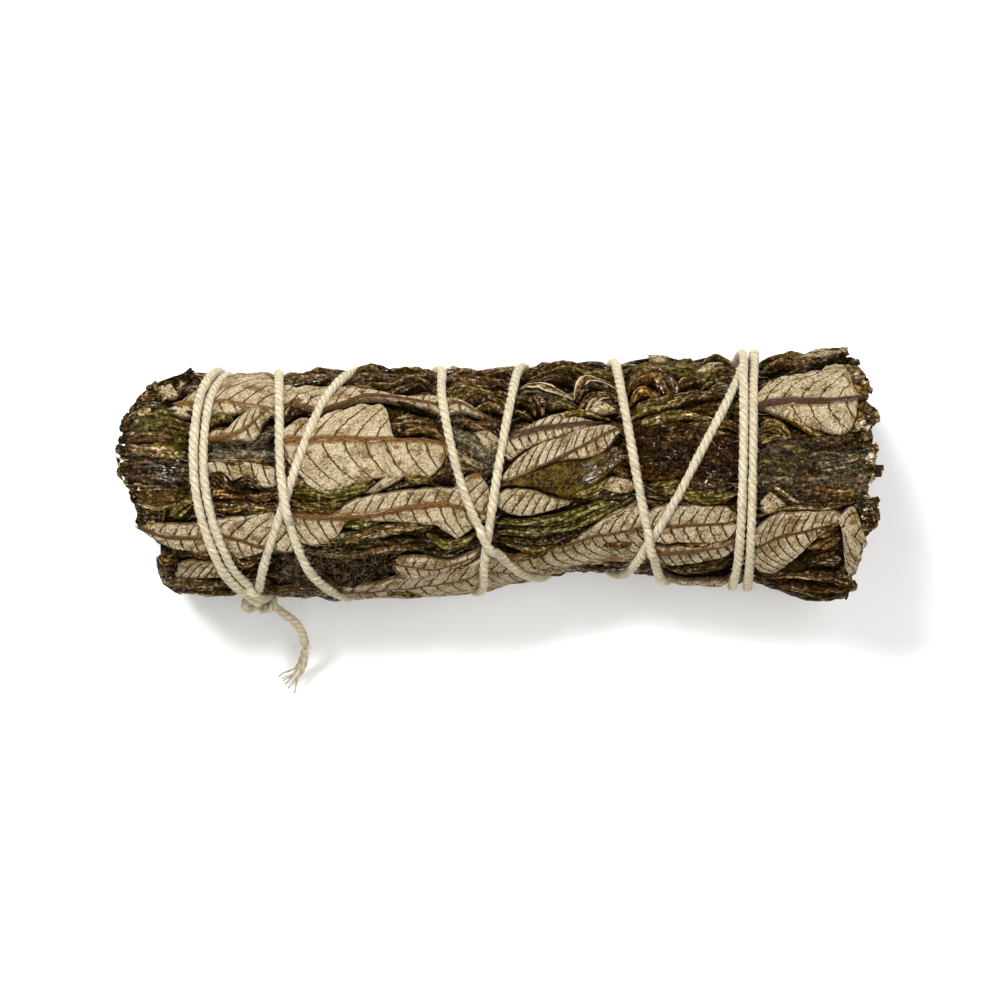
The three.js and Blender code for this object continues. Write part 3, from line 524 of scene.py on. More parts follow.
    ("grey", "ridge", 0.69, -0.05, 0.3, [(27.2, 11.9), (29.7, 12.4), (32.2, 12.6)]),
    ("umber", "ridge", 0.64, 0.0, 0.5, [(22.8, 10.1), (26.3, 11.1), (31.2, 12.1)]),
    ("tan", "ridge", 0.39, 0.15, 0.4, [(25.3, 8.4), (27.7, 8.2), (31.2, 7.9)]),
    ("umber", "ridge", 0.74, 0.0, 0.5, [(26.3, 7.7), (29.2, 7.5), (32.2, 6.7)]),
    ("olive", "ridge", 0.89, 0.05, 0.4, [(34.4, 7.2), (36.6, 6.7), (38.6, 5.2)]),
    ("tan", "ridge", 0.49, 0.2, 0.4, [(34.4, 7.9), (36.6, 7.4), (38.3, 6.2)]),
    ("tan", "ridge", 0.49, 0.1, 0.4, [(34.6, 5.2), (36.6, 5.7), (38.6, 5.2)]),
    ("olive", "ridge", 0.49, 0.2, 0.4, [(36.1, 8.9), (38.6, 7.7), (41.1, 6.2), (43.5, 5.5)]),
    ("black", "ridge", 1.09, -0.05, 0.5, [(38.6, 5.2), (41.6, 5.2), (45.0, 4.7), (48.0, 5.2)]),
    ("grey", "sheet", 1.48, -0.1, 0.3, [(34.2, 3.7), (38.6, 3.0), (43.5, 2.7), (48.2, 2.2)]),
    ("grey", "sheet", 1.58, -0.1, 0.3, [(34.4, 1.3), (38.6, 0.5), (43.5, 0.3), (48.2, 0.3)]),
    ("umber", "ridge", 0.99, -0.05, 0.4, [(36.1, -1.0), (40.1, -1.2), (44.3, -1.7), (48.0, -1.5)]),
    ("grey", "ridge", 0.99, 0.0, 0.3, [(37.1, 2.0), (41.1, 1.3), (45.0, 1.8), (48.0, 3.0)]),
    ("black", "ridge", 0.84, 0.0, 0.5, [(36.6, -2.2), (40.1, -2.9), (43.5, -2.9), (47.5, -2.7)]),
    ("olive", "ridge", 0.39, 0.3, 0.4, [(33.7, -5.5), (36.1, -4.3), (39.6, -3.6), (43.0, -3.7),
        (46.0, -3.1)]),
    ("tan", "ridge", 0.35, 0.75, 0.4, [(35.9, -0.8), (37.4, -1.7), (39.5, -3.3)]),
    ("olive", "ridge", 0.99, 0.0, 0.4, [(23.8, -2.2), (27.2, -2.3), (31.2, -2.2)]),
    ("black", "ridge", 1.09, -0.1, 0.7, [(23.5, -0.7), (27.2, -1.0), (31.2, -0.7)]),
    ("umber", "sheet", 1.23, -0.1, 0.8, [(26.0, 0.8), (28.7, 0.5), (31.4, 0.8)]),
    ("red", "sheet", 1.48, -0.15, 0.6, [(25.8, 4.2), (28.7, 4.0), (31.7, 4.2)]),
    ("umber", "ridge", 1.09, -0.1, 0.6, [(24.3, 6.2), (28.2, 6.1), (31.7, 5.5)]),
    ("black", "ridge", 1.09, 0.05, 0.4, [(40.6, -8.9), (42.5, -7.1), (45.0, -6.1)]),
    ("umber", "ridge", 1.09, 0.05, 0.4, [(39.1, -10.6), (42.0, -8.9), (45.5, -7.4)]),
    ("black", "ridge", 1.09, 0.0, 0.4, [(37.1, -11.8), (40.6, -10.8), (45.7, -9.3)]),
    ("grey", "ridge", 0.84, 0.1, 0.3, [(38.6, -11.6), (42.0, -10.3), (45.7, -10.6)]),
    ("umber", "ridge", 0.84, -0.1, 0.5, [(33.7, -13.3), (37.6, -12.6), (43.0, -12.6), (46.7, -13.8)]),
    ("tan", "ridge", 0.49, 0.05, 0.4, [(34.2, -13.8), (38.1, -13.0), (42.5, -13.0), (46.0, -13.3)]),
    ("red", "ridge", 0.84, -0.1, 0.5, [(34.2, -14.2), (38.6, -14.3), (43.0, -14.5), (47.0, -14.5)]),
    ("olive", "ridge", 0.64, -0.1, 0.5, [(35.1, -14.8), (39.6, -15.1), (43.5, -15.5), (46.2, -15.5)]),
    ("umber", "ridge", 0.64, -0.3, 0.5, [(36.1, -15.3), (40.1, -15.8), (45.5, -16.3)]),
    ("black", "ridge", 0.74, 0.1, 0.5, [(21.3, -11.7), (24.8, -11.6), (28.7, -11.1), (31.2, -10.6)]),
    ("olive", "ridge", 0.54, 0.0, 0.5, [(21.8, -12.3), (25.8, -12.3), (30.9, -11.8)]),
    ("red", "ridge", 0.39, 0.3, 0.4, [(19.9, -9.1), (22.8, -8.9), (26.8, -8.4), (31.2, -7.7)]),
    ("umber", "ridge", 0.64, 0.0, 0.4, [(31.1, -4.9), (32.2, -5.9), (33.4, -7.1)]),
]
# A fold's thickness, and its grid: steps to a millimetre along it, points across one with
# pleats and one without, and the share of those points that a small fold has.
FOLD_THICKNESS, FOLD_STEPS = 1.3, 3.8
PLEATED_ACROSS, ROUND_ACROSS, SMALL_ACROSS = 27, 15, 0.7
# Folds that start or end past these places are cut with the roll, and so end bluntly.
BLUNT_ENDS = (-43.5, 44.5)
# The small folds: how many round the roll and along it, how fine their grid is beside
# that of the large ones, the share of each tint, and how far round the roll, in
# millimetres from the top, they start to be hidden and then lie underneath.
FILLER_ROUND, FILLER_ALONG, FILLER_GRID = 27, 6, 0.34
FILLER_TINTS = [0.28, 0.27, 0.11, 0.14, 0.08, 0.04, 0.07, 0.01, 0.0]
FILLER_HIDDEN, FILLER_UNDER = 18, 27
# Both ends are cut: places across the roll, and how far along it the leaves reach there.
LEFT_CUT = np.array([
    (-15.8, -41.0), (-15.1, -43.2), (-13.9, -44.8), (-11.8, -45.6), (-10.1, -45.6),
    (-9.5, -43.3), (-9.1, -43.5), (-8.4, -45.2), (-6.9, -47.2), (-5.4, -48.0), (-2.9, -48.8),
    (-0.5, -49.6), (0.8, -50.9), (4.2, -51.0), (6.2, -50.6), (8.4, -50.1), (10.4, -48.6),
    (12.6, -46.7), (14.5, -41.5),
])
RIGHT_CUT = np.array([
    (-16.4, 45.9), (-14.3, 47.0), (-12.6, 46.4), (-10.6, 47.8), (-7.9, 47.9), (-7.0, 49.0),
    (-5.2, 50.1), (-3.3, 50.1), (-1.9, 48.6), (-0.5, 48.7), (2.0, 49.7), (4.0, 49.8),
    (5.2, 49.2), (6.9, 49.3), (7.9, 50.1), (9.2, 50.1), (10.1, 48.7), (11.9, 49.1),
    (13.5, 49.0), (15.6, 47.6), (17.3, 46.5),
])


def cut_off(points):
    """Points brought back inside the cut ends and under the ceiling: past the cut, shifted
    by random heights, only a tenth of the rest is kept."""
    x, y, z = np.moveaxis(points, -1, 0)
    radius, drift = roll_shape(x)
    inner = np.clip((0.93 - np.hypot(y - drift, z - radius) / radius) / 0.25, 0, 1)
    ragged = 0.15 + (0.75 + 1.6 * inner) * np.abs(crinkle(y / 1.1 + 5, z / 1.1 + 9, 3))
    low = np.interp(y, *LEFT_CUT.T) + ragged
    high = np.interp(y, *RIGHT_CUT.T) - ragged
    x = np.where(x < low, low + 0.1 * (x - low), np.where(x > high, high + 0.1 * (x - high), x))
    return np.stack([x, y, np.minimum(z, CEILING + 0.1 * (z - CEILING))], -1)


def fold(lofts, draw, path, half, tint, lift, gloss, kind, finer=1.0):
    """Add a fold along a path of (x, arc) places. Its points lie across the path, and its
    height is a round dome with one crease, or pleats of uneven spacing, plus crinkles."""
    rough = smooth_path(path, 12)
    length = np.linalg.norm(np.diff(rough, axis=0), axis=1).sum()
    steps = int(np.clip(length * FOLD_STEPS * finer, 10, 100))
    pleated = kind in ("sheet", "quiet")
    count = PLEATED_ACROSS if pleated else ROUND_ACROSS
    count = count if finer == 1.0 else int(count * SMALL_ACROSS)
    centre = smooth_path(path, steps)
    toward = np.gradient(centre, axis=0)
    toward /= np.linalg.norm(toward, axis=1, keepdims=True)
    s = np.linspace(0, 1, steps)[:, None]
    t = np.linspace(-1, 1, count)[None, :]
    along = s * length + 0 * t
    shift_u, shift_v = draw.uniform(0, 90, 2)
    blunt_low, blunt_high = centre[0, 0] < BLUNT_ENDS[0], centre[-1, 0] > BLUNT_ENDS[1]
    low, high = 0.40 if blunt_low else 0.05, 0.62 if blunt_high else 0.96
    width = np.sin(np.pi * (low + (high - low) * s)) ** 0.72
    width = width * (1 + 0.16 * crinkle(along / 2.6 + shift_u, t * 0.4 + shift_v, 2))
    from_end = np.minimum(s * length + 9 * (not blunt_low), (1 - s) * length + 9 * (not blunt_high))
    width = width * np.sqrt(1 - np.clip(1 - from_end / min(1.5 * half, 1.5), 0, 0.99) ** 2)
    bold = 1 + 0.55 * np.exp(-from_end / 5.0)
    retreat = draw.uniform(0.0, 0.8)
    across = t * half * width
    x = centre[:, :1] - toward[:, 1:] * across
    arc = centre[:, 1:] + toward[:, :1] * across
    ragged = 0.55 * crinkle(t * 3.1 + shift_v, s * 0 + shift_u, 3)
    x = x + ragged * (blunt_low * np.exp(-s / 0.06) + blunt_high * np.exp((s - 1) / 0.06))
    x = x + retreat * (blunt_low * np.exp(-s * 2) - blunt_high * np.exp((s - 1) * 2))
    wander = 0.55 * crinkle(along / 5 + shift_v, s * 0 + shift_u, 2)
    # crest also carries painted light and shade: it is near 0 in the creases, dips and steep sides, which
    # the material paints dark, and near 1 on the tops, which it paints lighter.
    if pleated:
        phase = across / 0.95 + 1.1 * crinkle(along / 7 + shift_u, across / 2.2 + shift_v, 2)
        crest = np.abs((phase % 1) * 2 - 1) ** 0.9
        dome = 0.42 * (crest - 0.5) - 1.3 * np.abs(t) ** 7
        crest = 0.35 + 0.65 * crest - 0.4 * np.abs(t) ** 7
    else:
        dip = np.exp(-(((t - wander) / 0.13) ** 2))
        dip = np.maximum(dip, 0.8 * np.exp(-(((t + 0.58 + 0.5 * wander) / 0.11) ** 2)))
        dip = np.maximum(dip, 0.7 * np.exp(-(((t - 0.60 + 0.6 * wander) / 0.11) ** 2)))
        round_top = np.sqrt(np.clip(1 - 0.96 * t * t, 0, 1))
        crest = np.clip(round_top * (1 - 0.85 * dip), 0, 1)
        rise = 0.35 * half if kind == "strip" else min(0.72 * half, 0.62)
        dome = rise * (round_top**0.7 - 0.40 * dip) - 0.05
    fine = crinkle(along / 1.1 + shift_u, across / 0.36 + shift_v, 3)
    wrinkle = crinkle(along / 0.75 + shift_v, across / 1.5 + shift_u, 2)
    height = lift + dome * bold * width + 0.13 * fine + 0.05 * wrinkle - 1.5 * (1 - width)
    height = height + 0.20 * crinkle(along / 4 + shift_v, across / 2 + shift_u, 2)
    below = np.linspace(count - 3, 2, 3).round().astype(int)
    shade = np.array(TINTS[tint]) * draw.uniform(0.8, 1.25) * draw.uniform(0.93, 1.07, 3)
    section = leaf_section(x, arc, height, FOLD_THICKNESS, below)
    lofts.add(
        cut_off(section),
        blade=np.stack([with_below(along + 7 * shift_u, below),
                        round_section(section) + 7 * shift_v], -1),
        crest=with_below(np.clip(crest + 0.22 * fine, 0, 1), below),
        side=with_below(np.abs(t) + 0 * x, below), gloss=gloss,
        trim=float(kind == "strip") - float(kind == "quiet"), tint=shade)


draw = np.random.default_rng(11)
outer = [Lofts(), Lofts()]
for number, (tint, kind, half, lift, gloss, places) in enumerate(RIDGES):
    path = [(x, float(arc_at(x, y))) for x, y in places]
    fold(outer[number % 2], draw, path, half, tint, lift, gloss, kind)

filler = Lofts()
half_round = np.pi * MEAN_RADIUS
for row in range(FILLER_ALONG):
    for k in range(FILLER_ROUND):
        turn = (k + 0.5 * (row % 2) + draw.uniform(-0.35, 0.35)) / FILLER_ROUND
        middle = -40 + 80 * row / (FILLER_ALONG - 1) + draw.uniform(-5, 5)
        reach = draw.uniform(7, 13)
        low = max(middle - reach, draw.uniform(-49.5, -44.5))
        high = min(middle + reach, draw.uniform(45, 48.5))
        places = np.linspace(low, high, 4)
        arcs = 2 * half_round * turn + draw.uniform(-1.1, 1.1, 4)
        arcs = (arcs + half_round) % (2 * half_round) - half_round
        if np.ptp(arcs) > 10:
            arcs = np.full(4, half_round)
        hidden = abs(arcs[0]) > FILLER_HIDDEN
        kinds = [0.5, 0.4, 0.1] if abs(arcs[0]) > FILLER_UNDER else [0.55, 0.45, 0.0]
        tint = draw.choice(list(TINTS), p=FILLER_TINTS)
        fold(filler, draw, np.stack([places, arcs], 1), draw.uniform(1.0, 2.3), tint,
             draw.uniform(-1.0, -0.3) + (0.3 if hidden else -0.9), draw.uniform(0.2, 0.8),
             draw.choice(["ridge", "sheet", "strip"], p=kinds), FILLER_GRID)


def dark_leaf_material():
    """Wrinkled dark leaf: its own tint, black in the folds by painted shade, paler and browner
    on the crests by painted light, flecked with pale wool that fades out in the painted
    shade of the folds, and wet-looking where resin lies on it."""
    material, dye = new_material("dark_leaf")
    blade = dye.uv("blade")
    along, across, _ = blade.split()
    crest, side = dye.attribute("crest"), dye.attribute("side")
    fibre = dye.noise(dye.joined(along * 0.42, across * 1.6), 1.4, 5.0, 0.70)
    patch = dye.noise(dye.joined(along * 0.25, across * 0.6, 5.0), 1.0, 3.0)
    blotch = dye.noise(dye.joined(along * 0.4, across * 0.8, 2.0), 0.9, 5.0, 0.7)
    grain = dye.noise(dye.place(), 2000.0, 2.0, 0.65)
    tint, trim = dye.attribute("tint", out=0), dye.attribute("trim")
    quiet = 1 - trim.rising(-0.9, -0.1)
    lively = 1 - quiet * 0.75
    colour = (blotch.rising(0.50, 0.62) * 0.6).mixed(tint, (0.066, 0.031, 0.007))
    colour = ((1 - blotch).rising(0.52, 0.64) * lively * 0.5).mixed(colour, (0.080, 0.057, 0.016))
    colour = (patch.rising(0.56, 0.66) * lively * 0.5).mixed(colour, (0.13, 0.085, 0.014))
    colour = ((1 - patch).rising(0.60, 0.68) * 0.4).mixed(colour, (0.105, 0.040, 0.008))
    # The crest term is painted shade and light: up to two stops darker in the folds and brighter on the
    # crests. Fibre and grain are the leaf's own texture.
    stops = (crest - 0.74) * 3.0 + (fibre - 0.5) * 10.0 + (grain - 0.5) * 9.0 - quiet * 0.9
    light = dye.maths("POWER", 2.0, stops.maths("MINIMUM", stops, 2.2))
    colour = dye.node("ShaderNodeHueSaturation", None, {
        "Saturation": 1.10 - light * 0.09 + quiet * 0.12, "Value": light, "Color": colour})
    # Pale wool flecks, faded out with the crest value so that they stay out of the painted shade in the
    # folds.
    fleck = (grain + fibre * 0.5).rising(0.88, 1.0) * crest * (1 - quiet)
    colour = (fleck * 0.7).mixed(colour, (0.42, 0.33, 0.19))
    rim = side.rising(0.50, 0.60) * (1 - side.rising(0.84, 0.92)) * trim
    rim = rim * (fibre + grain).rising(0.72, 0.96)
    colour = (rim * 0.95).mixed(colour, (0.52, 0.43, 0.27))
    gloss = dye.attribute("gloss")
    resin = (gloss * 0.4 + grain + blotch * 0.5).rising(0.98, 1.22)
    relief = fibre * 0.45 + grain * 0.34
    finish_material(dye, colour, 0.85 - resin * 0.30, relief, 1.0, specular=0.03,
                    coat=resin * (0.8 - quiet * 0.55))
    return material


dark_material = dark_leaf_material()


def dark_piece(lofts, name):
    """Make a piece of dark leaves, one of those that replace the node of them all."""
    piece = lofts.piece(name, dark_material, "dark_leaf",
                        floats=("crest", "side", "trim", "gloss"), uvs=("blade",), tint=True)
    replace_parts(piece, "folded_dark_leaves")


dark_piece(outer[0], "dark_folds_outer")
dark_piece(outer[1], "dark_folds_inner")
dark_piece(filler, "dark_leaves_filler")

# Broad dark leaves: dried leaves that the twine caught lying open over the folds, the upper
# side out, with soft creases. One of them is yellow-green and wet with resin.
BROAD_STEPS, BROAD_ACROSS, BROAD_THICKNESS = 110, 45, 0.9
# Tint, its strength, -1 for no pale flecks, gloss, height and stations seen from above:
# place along the roll, upper edge, midrib and lower edge.
BROAD_LEAVES = [
    ("red", 0.42, -1.0, 0.75, 0.30, [
        (16.4, 7.4, 4.4, 1.6), (19.5, 8.1, 4.2, -0.3), (24.0, 7.7, 4.0, -0.6),
        (28.0, 6.9, 3.6, -0.8), (32.0, 6.2, 3.0, -0.9)]),
    ("grey", 0.50, 0.0, 0.25, 0.25, [
        (34.0, 4.8, 1.2, -2.2), (37.5, 5.6, 1.4, -2.7), (42.0, 5.2, 1.2, -3.0),
        (46.0, 4.8, 1.0, -3.0), (49.0, 4.4, 0.8, -2.9)]),
    ("black", 0.60, -1.0, 0.40, 0.30, [
        (37.0, -11.6, -12.0, -12.4), (40.0, -9.2, -10.6, -12.0), (43.2, -6.8, -9.4, -11.8),
        (45.8, -6.5, -9.0, -10.8)]),
]
SHINY_LEAF = [
    (0.5, -0.5, -0.7, -1.0), (2.3, 0.3, -0.3, -1.0), (4.7, 1.3, 0.0, -1.2), (7.2, 2.1, 0.3, -2.3),
    (9.2, 2.4, 0.5, -2.6), (11.1, 2.7, 1.0, -1.7), (13.1, 3.5, 1.6, -0.5), (14.6, 4.0, 2.2, 0.8),
    (16.3, 4.2, 3.0, 1.8),
]
# Where on the shiny leaf the resin is thickest, and how far it reaches, in its pattern.
RESIN_PLACE, RESIN_REACH = 313.3, 3.2


def leaf_rows(stations, steps):
    """Even steps along a leaf from its stations: place, and upper edge, midrib and lower
    edge as lengths round the roll."""
    dense = smooth_path(stations, 300)
    x = np.linspace(dense[0, 0], dense[-1, 0], steps)
    order = np.argsort(dense[:, 0])
    return [x[:, None]] + [np.interp(x, dense[order, 0], dense[order, c])[:, None] for c in (1, 2, 3)]


def seen(stations):
    """Stations seen from above, as lengths round the roll."""
    return [(x, *(float(arc_at(x, y)) for y in edges)) for x, *edges in stations]


def broad_leaf(lofts, stations, lift, gloss, tint, trim, crease, seed):
    """Add an open leaf through stations: flat, with its edges turned down, slow waves and
    creases that run along it and wander."""
    x, upper, middle, lower = leaf_rows(seen(stations), BROAD_STEPS)
    t = np.linspace(-1, 1, BROAD_ACROSS)[None, :]
    s = np.linspace(0, 1, BROAD_STEPS)[:, None]
    ends = 1 - 0.6 * np.exp(-s / 0.04) - 0.5 * np.exp((s - 1) / 0.04)
    across = np.where(t > 0, t * (upper - middle), t * (middle - lower)) * ends
    across = across * (1 + 0.10 * crinkle(x / 1.4 + seed, np.sign(t) + 0 * x, 3) * np.abs(t) ** 3)
    x = x + 0.5 * crinkle(t * 2.5 + seed, 0 * s, 2) * (np.exp(-s / 0.06) + np.exp((s - 1) / 0.06))
    folds = crinkle(across / 0.75 + 0.8 * crinkle(x / 4, across / 4 + seed, 2), x / 6 + seed, 2)
    fine = crinkle(x / 0.6 + seed, across / 0.45, 3)
    height = (lift - 0.85 * np.abs(t) ** 6 + 0.26 * crinkle(x / 3 + seed, across / 1.8, 2)
              + crease * 0.30 * folds + (0.04 + 0.06 * crease) * fine)
    below = np.linspace(BROAD_ACROSS - 3, 2, 7).round().astype(int)
    # Painted light and shade: crest follows the creases, so their hollows are painted darker and their
    # tops lighter.
    lofts.add(
        cut_off(leaf_section(x, middle + across, height, BROAD_THICKNESS, below)),
        blade=np.stack([with_below(x + 30 * seed, below), with_below(across, below)], -1),
        crest=with_below(np.clip(0.62 + 0.30 * folds + 0.12 * fine, 0, 1), below),
        side=with_below(np.abs(t) + 0 * x, below), gloss=gloss, trim=trim, tint=tint)


open_leaves, shiny = Lofts(), Lofts()
for number, (tint, strength, trim, gloss, lift, stations) in enumerate(BROAD_LEAVES):
    shade = strength * np.array(TINTS[tint])
    broad_leaf(open_leaves, stations, lift, gloss, shade, trim, 1.0, 3 + 7 * number)
broad_leaf(shiny, SHINY_LEAF, 0.45, 1.0, np.array(TINTS["olive"]), 0.0, 0.6, 10)
dark_piece(open_leaves, "open_dark_leaves")


def shiny_leaf_material():
    """Yellow-green leaf under a coat of dried resin, with brown spots and edges."""
    material, dye = new_material("shiny_leaf")
    blade = dye.uv("blade")
    blotch = dye.noise(blade, 0.55, 4.0)
    grain = dye.noise(blade, 2.2, 4.0, 0.7)
    colour = blotch.rising(0.40, 0.60).mixed((0.024, 0.012, 0.001), (0.078, 0.048, 0.004))
    colour = (grain.rising(0.52, 0.66) * 0.5).mixed(colour, (0.130, 0.086, 0.010))
    colour = ((1 - grain).rising(0.54, 0.68) * 0.5).mixed(colour, (0.014, 0.006, 0.001))
    spots = dye.noise(blade, 0.9, 4.0)
    colour = (spots.rising(0.56, 0.59) * 0.9).mixed(colour, (0.020, 0.007, 0.001))
    edging = spots.rising(0.53, 0.55) * (1 - spots.rising(0.56, 0.58))
    colour = (edging * 0.5).mixed(colour, (0.22, 0.15, 0.06))
    rim = (dye.attribute("side") + grain * 0.12).rising(0.88, 0.99)
    colour = rim.mixed(colour, (0.035, 0.018, 0.004))
    relief = blotch * 0.7 + grain * 0.30
    along, across, _ = blade.split()
    near = (1 - abs(along - RESIN_PLACE) / RESIN_REACH).rising(0.0, 0.6)
    wet = (blotch * 0.4 + grain).rising(0.60, 0.68) * (near * 0.95 + 0.05)
    finish_material(dye, colour, 0.6, relief, 1.0, specular=0.03, coat=wet)
    return material


shiny_piece = shiny.piece("shiny_leaf", shiny_leaf_material(), "dark_leaf",
                          floats=("side",), uvs=("blade",))
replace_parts(shiny_piece, "folded_dark_leaves")

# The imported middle: the leaves inside the roll, rolled up together and pressed into one
# dark crumpled mass. It shows between the folds and, as scrolls, deep in the cut ends.
CORE_ENDS = (-45.0, 46.5)
CORE_DEPTH = 1.9
CORE_STEPS, CORE_AROUND, SCROLL_STEPS = 150, 120, 60
SCROLL_PITCH, SCROLL_ARMS = 1.35, 3


def whole_turn(count):
    """Angles spread evenly round a circle, as a row."""
    return np.linspace(0, 2 * np.pi, count, endpoint=False)[None, :]


core = Lofts()
s = np.linspace(0, 1, CORE_STEPS)[:, None]
turn = whole_turn(CORE_AROUND)
x = CORE_ENDS[0] + (CORE_ENDS[1] - CORE_ENDS[0]) * s + 0 * turn
ridge = 0.5 * np.sin(17 * turn + 0.06 * x) + 0.3 * np.sin(29 * turn - 0.09 * x + 1)
height = -CORE_DEPTH + ridge + 0.2 * np.sin(0.7 * x + 5 * turn) + pressed(x, turn)
# Painted shade: crest follows the ridges, so the hollows between them are painted darker.
core.add(cut_off(on_roll(x, turn, height)), blade=np.stack([x, turn * 15 + 0 * x], -1),
         crest=(ridge + 0.8) / 2.2, side=0.0, trim=0.0, gloss=0.3, tint=TINTS["umber"])
# Its ends are scrolls: ridges that wind inward, an arm for each leaf rolled up in it.
share = np.concatenate([[1.0], np.linspace(1, 0.02, SCROLL_STEPS)])[:, None]
for side, end in zip((-1, 1), CORE_ENDS):
    radius = roll_shape(np.array(end))[0]
    reach = share * (radius - CORE_DEPTH)
    y, z = reach * np.sin(turn), reach * np.cos(turn)
    scroll = reach / SCROLL_PITCH + SCROLL_ARMS * turn / (2 * np.pi)
    scroll = scroll + 0.9 * crinkle(y / 4 + 7 * side, z / 4, 3)
    edges = np.abs(np.sin(np.pi * scroll)) ** 0.6
    out = 1.7 * edges + 1.2 * crinkle(y / 2.2 + 9, z / 2.2 + side, 3)
    out[0] = -2.0
    rings = cut_off(on_roll(end + side * out, turn + 0 * reach, reach - radius))
    blade = np.stack([scroll * 2, y + z], -1)
    order = slice(None, None, side)
    # Painted shade: crest is low between the scroll's arms, which darkens them.
    core.add(rings[order], blade=blade[order], crest=(edges * 0.9)[order], side=0.0, trim=-1.0,
             gloss=0.2, tint=TINTS["umber"])
dark_piece(core, "packed_leaves")

# Cut ends: both ends of the roll are sliced across, so the rolled-up leaves inside show
# as curled strips in rings, ragged along the cut, with crumbs of leaf stuck on them.
STRIP_LONG, STRIP_HIGH, STRIP_ROOT = 15, 6, 3.5
CRUMBS, CRUMB_ROWS = 130, 8
FRINGE, FRINGE_ROWS = 330, 6
# How far out the crumbs lie at the middle of each end, how much less at its rim, by which
# power of the share of the radius, and that radius.
CRUMB_FACE = {-1: (50.2, 3.2, 3, 14.2), 1: (48.6, 1.2, 2, 16.0)}
# Rings of strips: share of the radius, number of strips, and least and most they stand out.
CUT_RINGS = [
    (0.93, 20, 1.2, 2.6), (0.84, 18, 2.6, 3.6), (0.70, 15, 3.2, 4.2), (0.56, 13, 3.4, 4.4),
    (0.40, 10, 3.4, 4.6), (0.22, 6, 3.4, 4.6),
]
# The share of each tint at the left end, side -1, and at the right end, side 1.
END_TINTS = {-1: [0.30, 0.22, 0.12, 0.12, 0.05, 0.08, 0.06, 0.03, 0.02],
             1: [0.14, 0.20, 0.10, 0.10, 0.03, 0.20, 0.06, 0.07, 0.10]}
FRINGE_TINTS = ["umber", "tan", "cream", "rust", "black"]
FRINGE_SHARES = {-1: [0.35, 0.1, 0.05, 0.05, 0.45], 1: [0.25, 0.2, 0.2, 0.1, 0.25]}

cut_ends = Lofts()
a = np.linspace(0, 1, STRIP_LONG)[:, None]
b = np.linspace(0, 1, STRIP_HIGH)[None, :]
for side, end in zip((-1, 1), CORE_ENDS):
    radius = float(roll_shape(np.array(end))[0])
    for share, count, least, most in CUT_RINGS:
        for k in range(count):
            shift_u, shift_v = draw.uniform(0, 90, 2)
            sweep = draw.uniform(3.0, 6.5) / (radius * share)
            angle = 2 * np.pi * (k + draw.uniform(-0.4, 0.4)) / count + side * sweep * a
            top = draw.uniform(least, most) + 0.9 * crinkle(a * 5 + shift_u, 0 * a + shift_v, 3)
            out = end + side * (-STRIP_ROOT + (STRIP_ROOT + top) * b)
            curl = draw.uniform(0.3, 1.3) * np.sin(np.pi * a * draw.uniform(1, 2.6) + shift_u)
            level = (radius * (share - 1) + draw.uniform(-0.6, 0.6) + curl
                     + draw.uniform(-1.1, 0.9) * b**2
                     + 0.35 * crinkle(a * 4 + shift_u, b * 3 + shift_v, 3))
            level = np.minimum(level, -0.9 + 0.7 * b**2)
            thick = draw.uniform(0.3, 0.8) * (1 - 0.4 * b)
            outside = on_roll(out, angle + 0 * b, level + thick / 2)
            inside = on_roll(out, angle + 0 * b, level - thick / 2)
            rings = cut_off(np.concatenate([outside, inside[:, ::-1]], axis=1))
            if side > 0:
                rings = rings[:, ::-1]
            both = np.concatenate([b + 0 * a, b[:, ::-1] + 0 * a], axis=1)
            shade = np.array(TINTS[draw.choice(list(TINTS), p=END_TINTS[side])])
            # Painted shade: crest rises from 0.25 at a strip's root to 0.85 at its outer end, so strips
            # are painted darker towards the inside of the cut.
            cut_ends.add(
                rings, blade=np.stack([both * 6 + 3 * shift_u, a * 6 + 0 * both + shift_v], -1),
                crest=0.25 + 0.6 * both, side=0.0, trim=0.0, gloss=0.4,
                tint=shade * draw.uniform(0.7, 1.3))



def add_crumb(lofts, rows, shift, sizes, uneven, crest, centre, tint):
    """Add a crumb round its centre: a ball whose radius varies at random, stretched to its
    sizes and kept inside the outline. Its crest, painted light and shade, is a base and a
    rate times the radius, so bulges are painted lighter and dips darker."""
    pole = 0.48 / rows
    polar = np.linspace(pole, np.pi - pole, rows)[:, None]
    turn = whole_turn(rows + 1)
    lump = 1 + uneven * crinkle(polar * 1.6 + shift, turn * 1.1 + shift, 2)
    ball = np.stack([lump * np.cos(polar) + 0 * turn, lump * np.sin(polar) * np.cos(turn),
                     lump * np.sin(polar) * np.sin(turn)], -1) * sizes
    lofts.add(cut_off(centre + ball),
              blade=np.stack([polar + 3 * shift + 0 * turn, turn + 0 * polar], -1),
              crest=np.clip(crest[0] + crest[1] * lump, 0, 1), side=0.0, trim=0.0, gloss=0.5,
              tint=tint)


crumbs = Lofts()
for number in range(CRUMBS):
    side = -1 if number % 5 < 3 else 1
    share = np.sqrt(draw.uniform(0.15, 0.93))
    angle = draw.uniform(-np.pi, np.pi) if number % 3 else draw.uniform(-1.5, 1.5)
    shift = draw.uniform(0, 90)
    sizes = draw.uniform(0.35, 0.95) * np.array([1.3, 1.0, 0.9]) * draw.uniform(0.7, 1.2, 3)
    most, fall, power, radius = CRUMB_FACE[side]
    reach = most - fall * share**power - draw.uniform(0, 1.6)
    centre = on_roll(np.array(side * reach), np.array(angle),
                     np.array(radius * (share - 1) - 0.4))
    shade = np.array(TINTS[draw.choice(list(TINTS), p=END_TINTS[side])])
    add_crumb(crumbs, CRUMB_ROWS, shift, sizes, 0.45, (-0.1, 0.6), centre,
              shade * draw.uniform(0.6, 1.2))
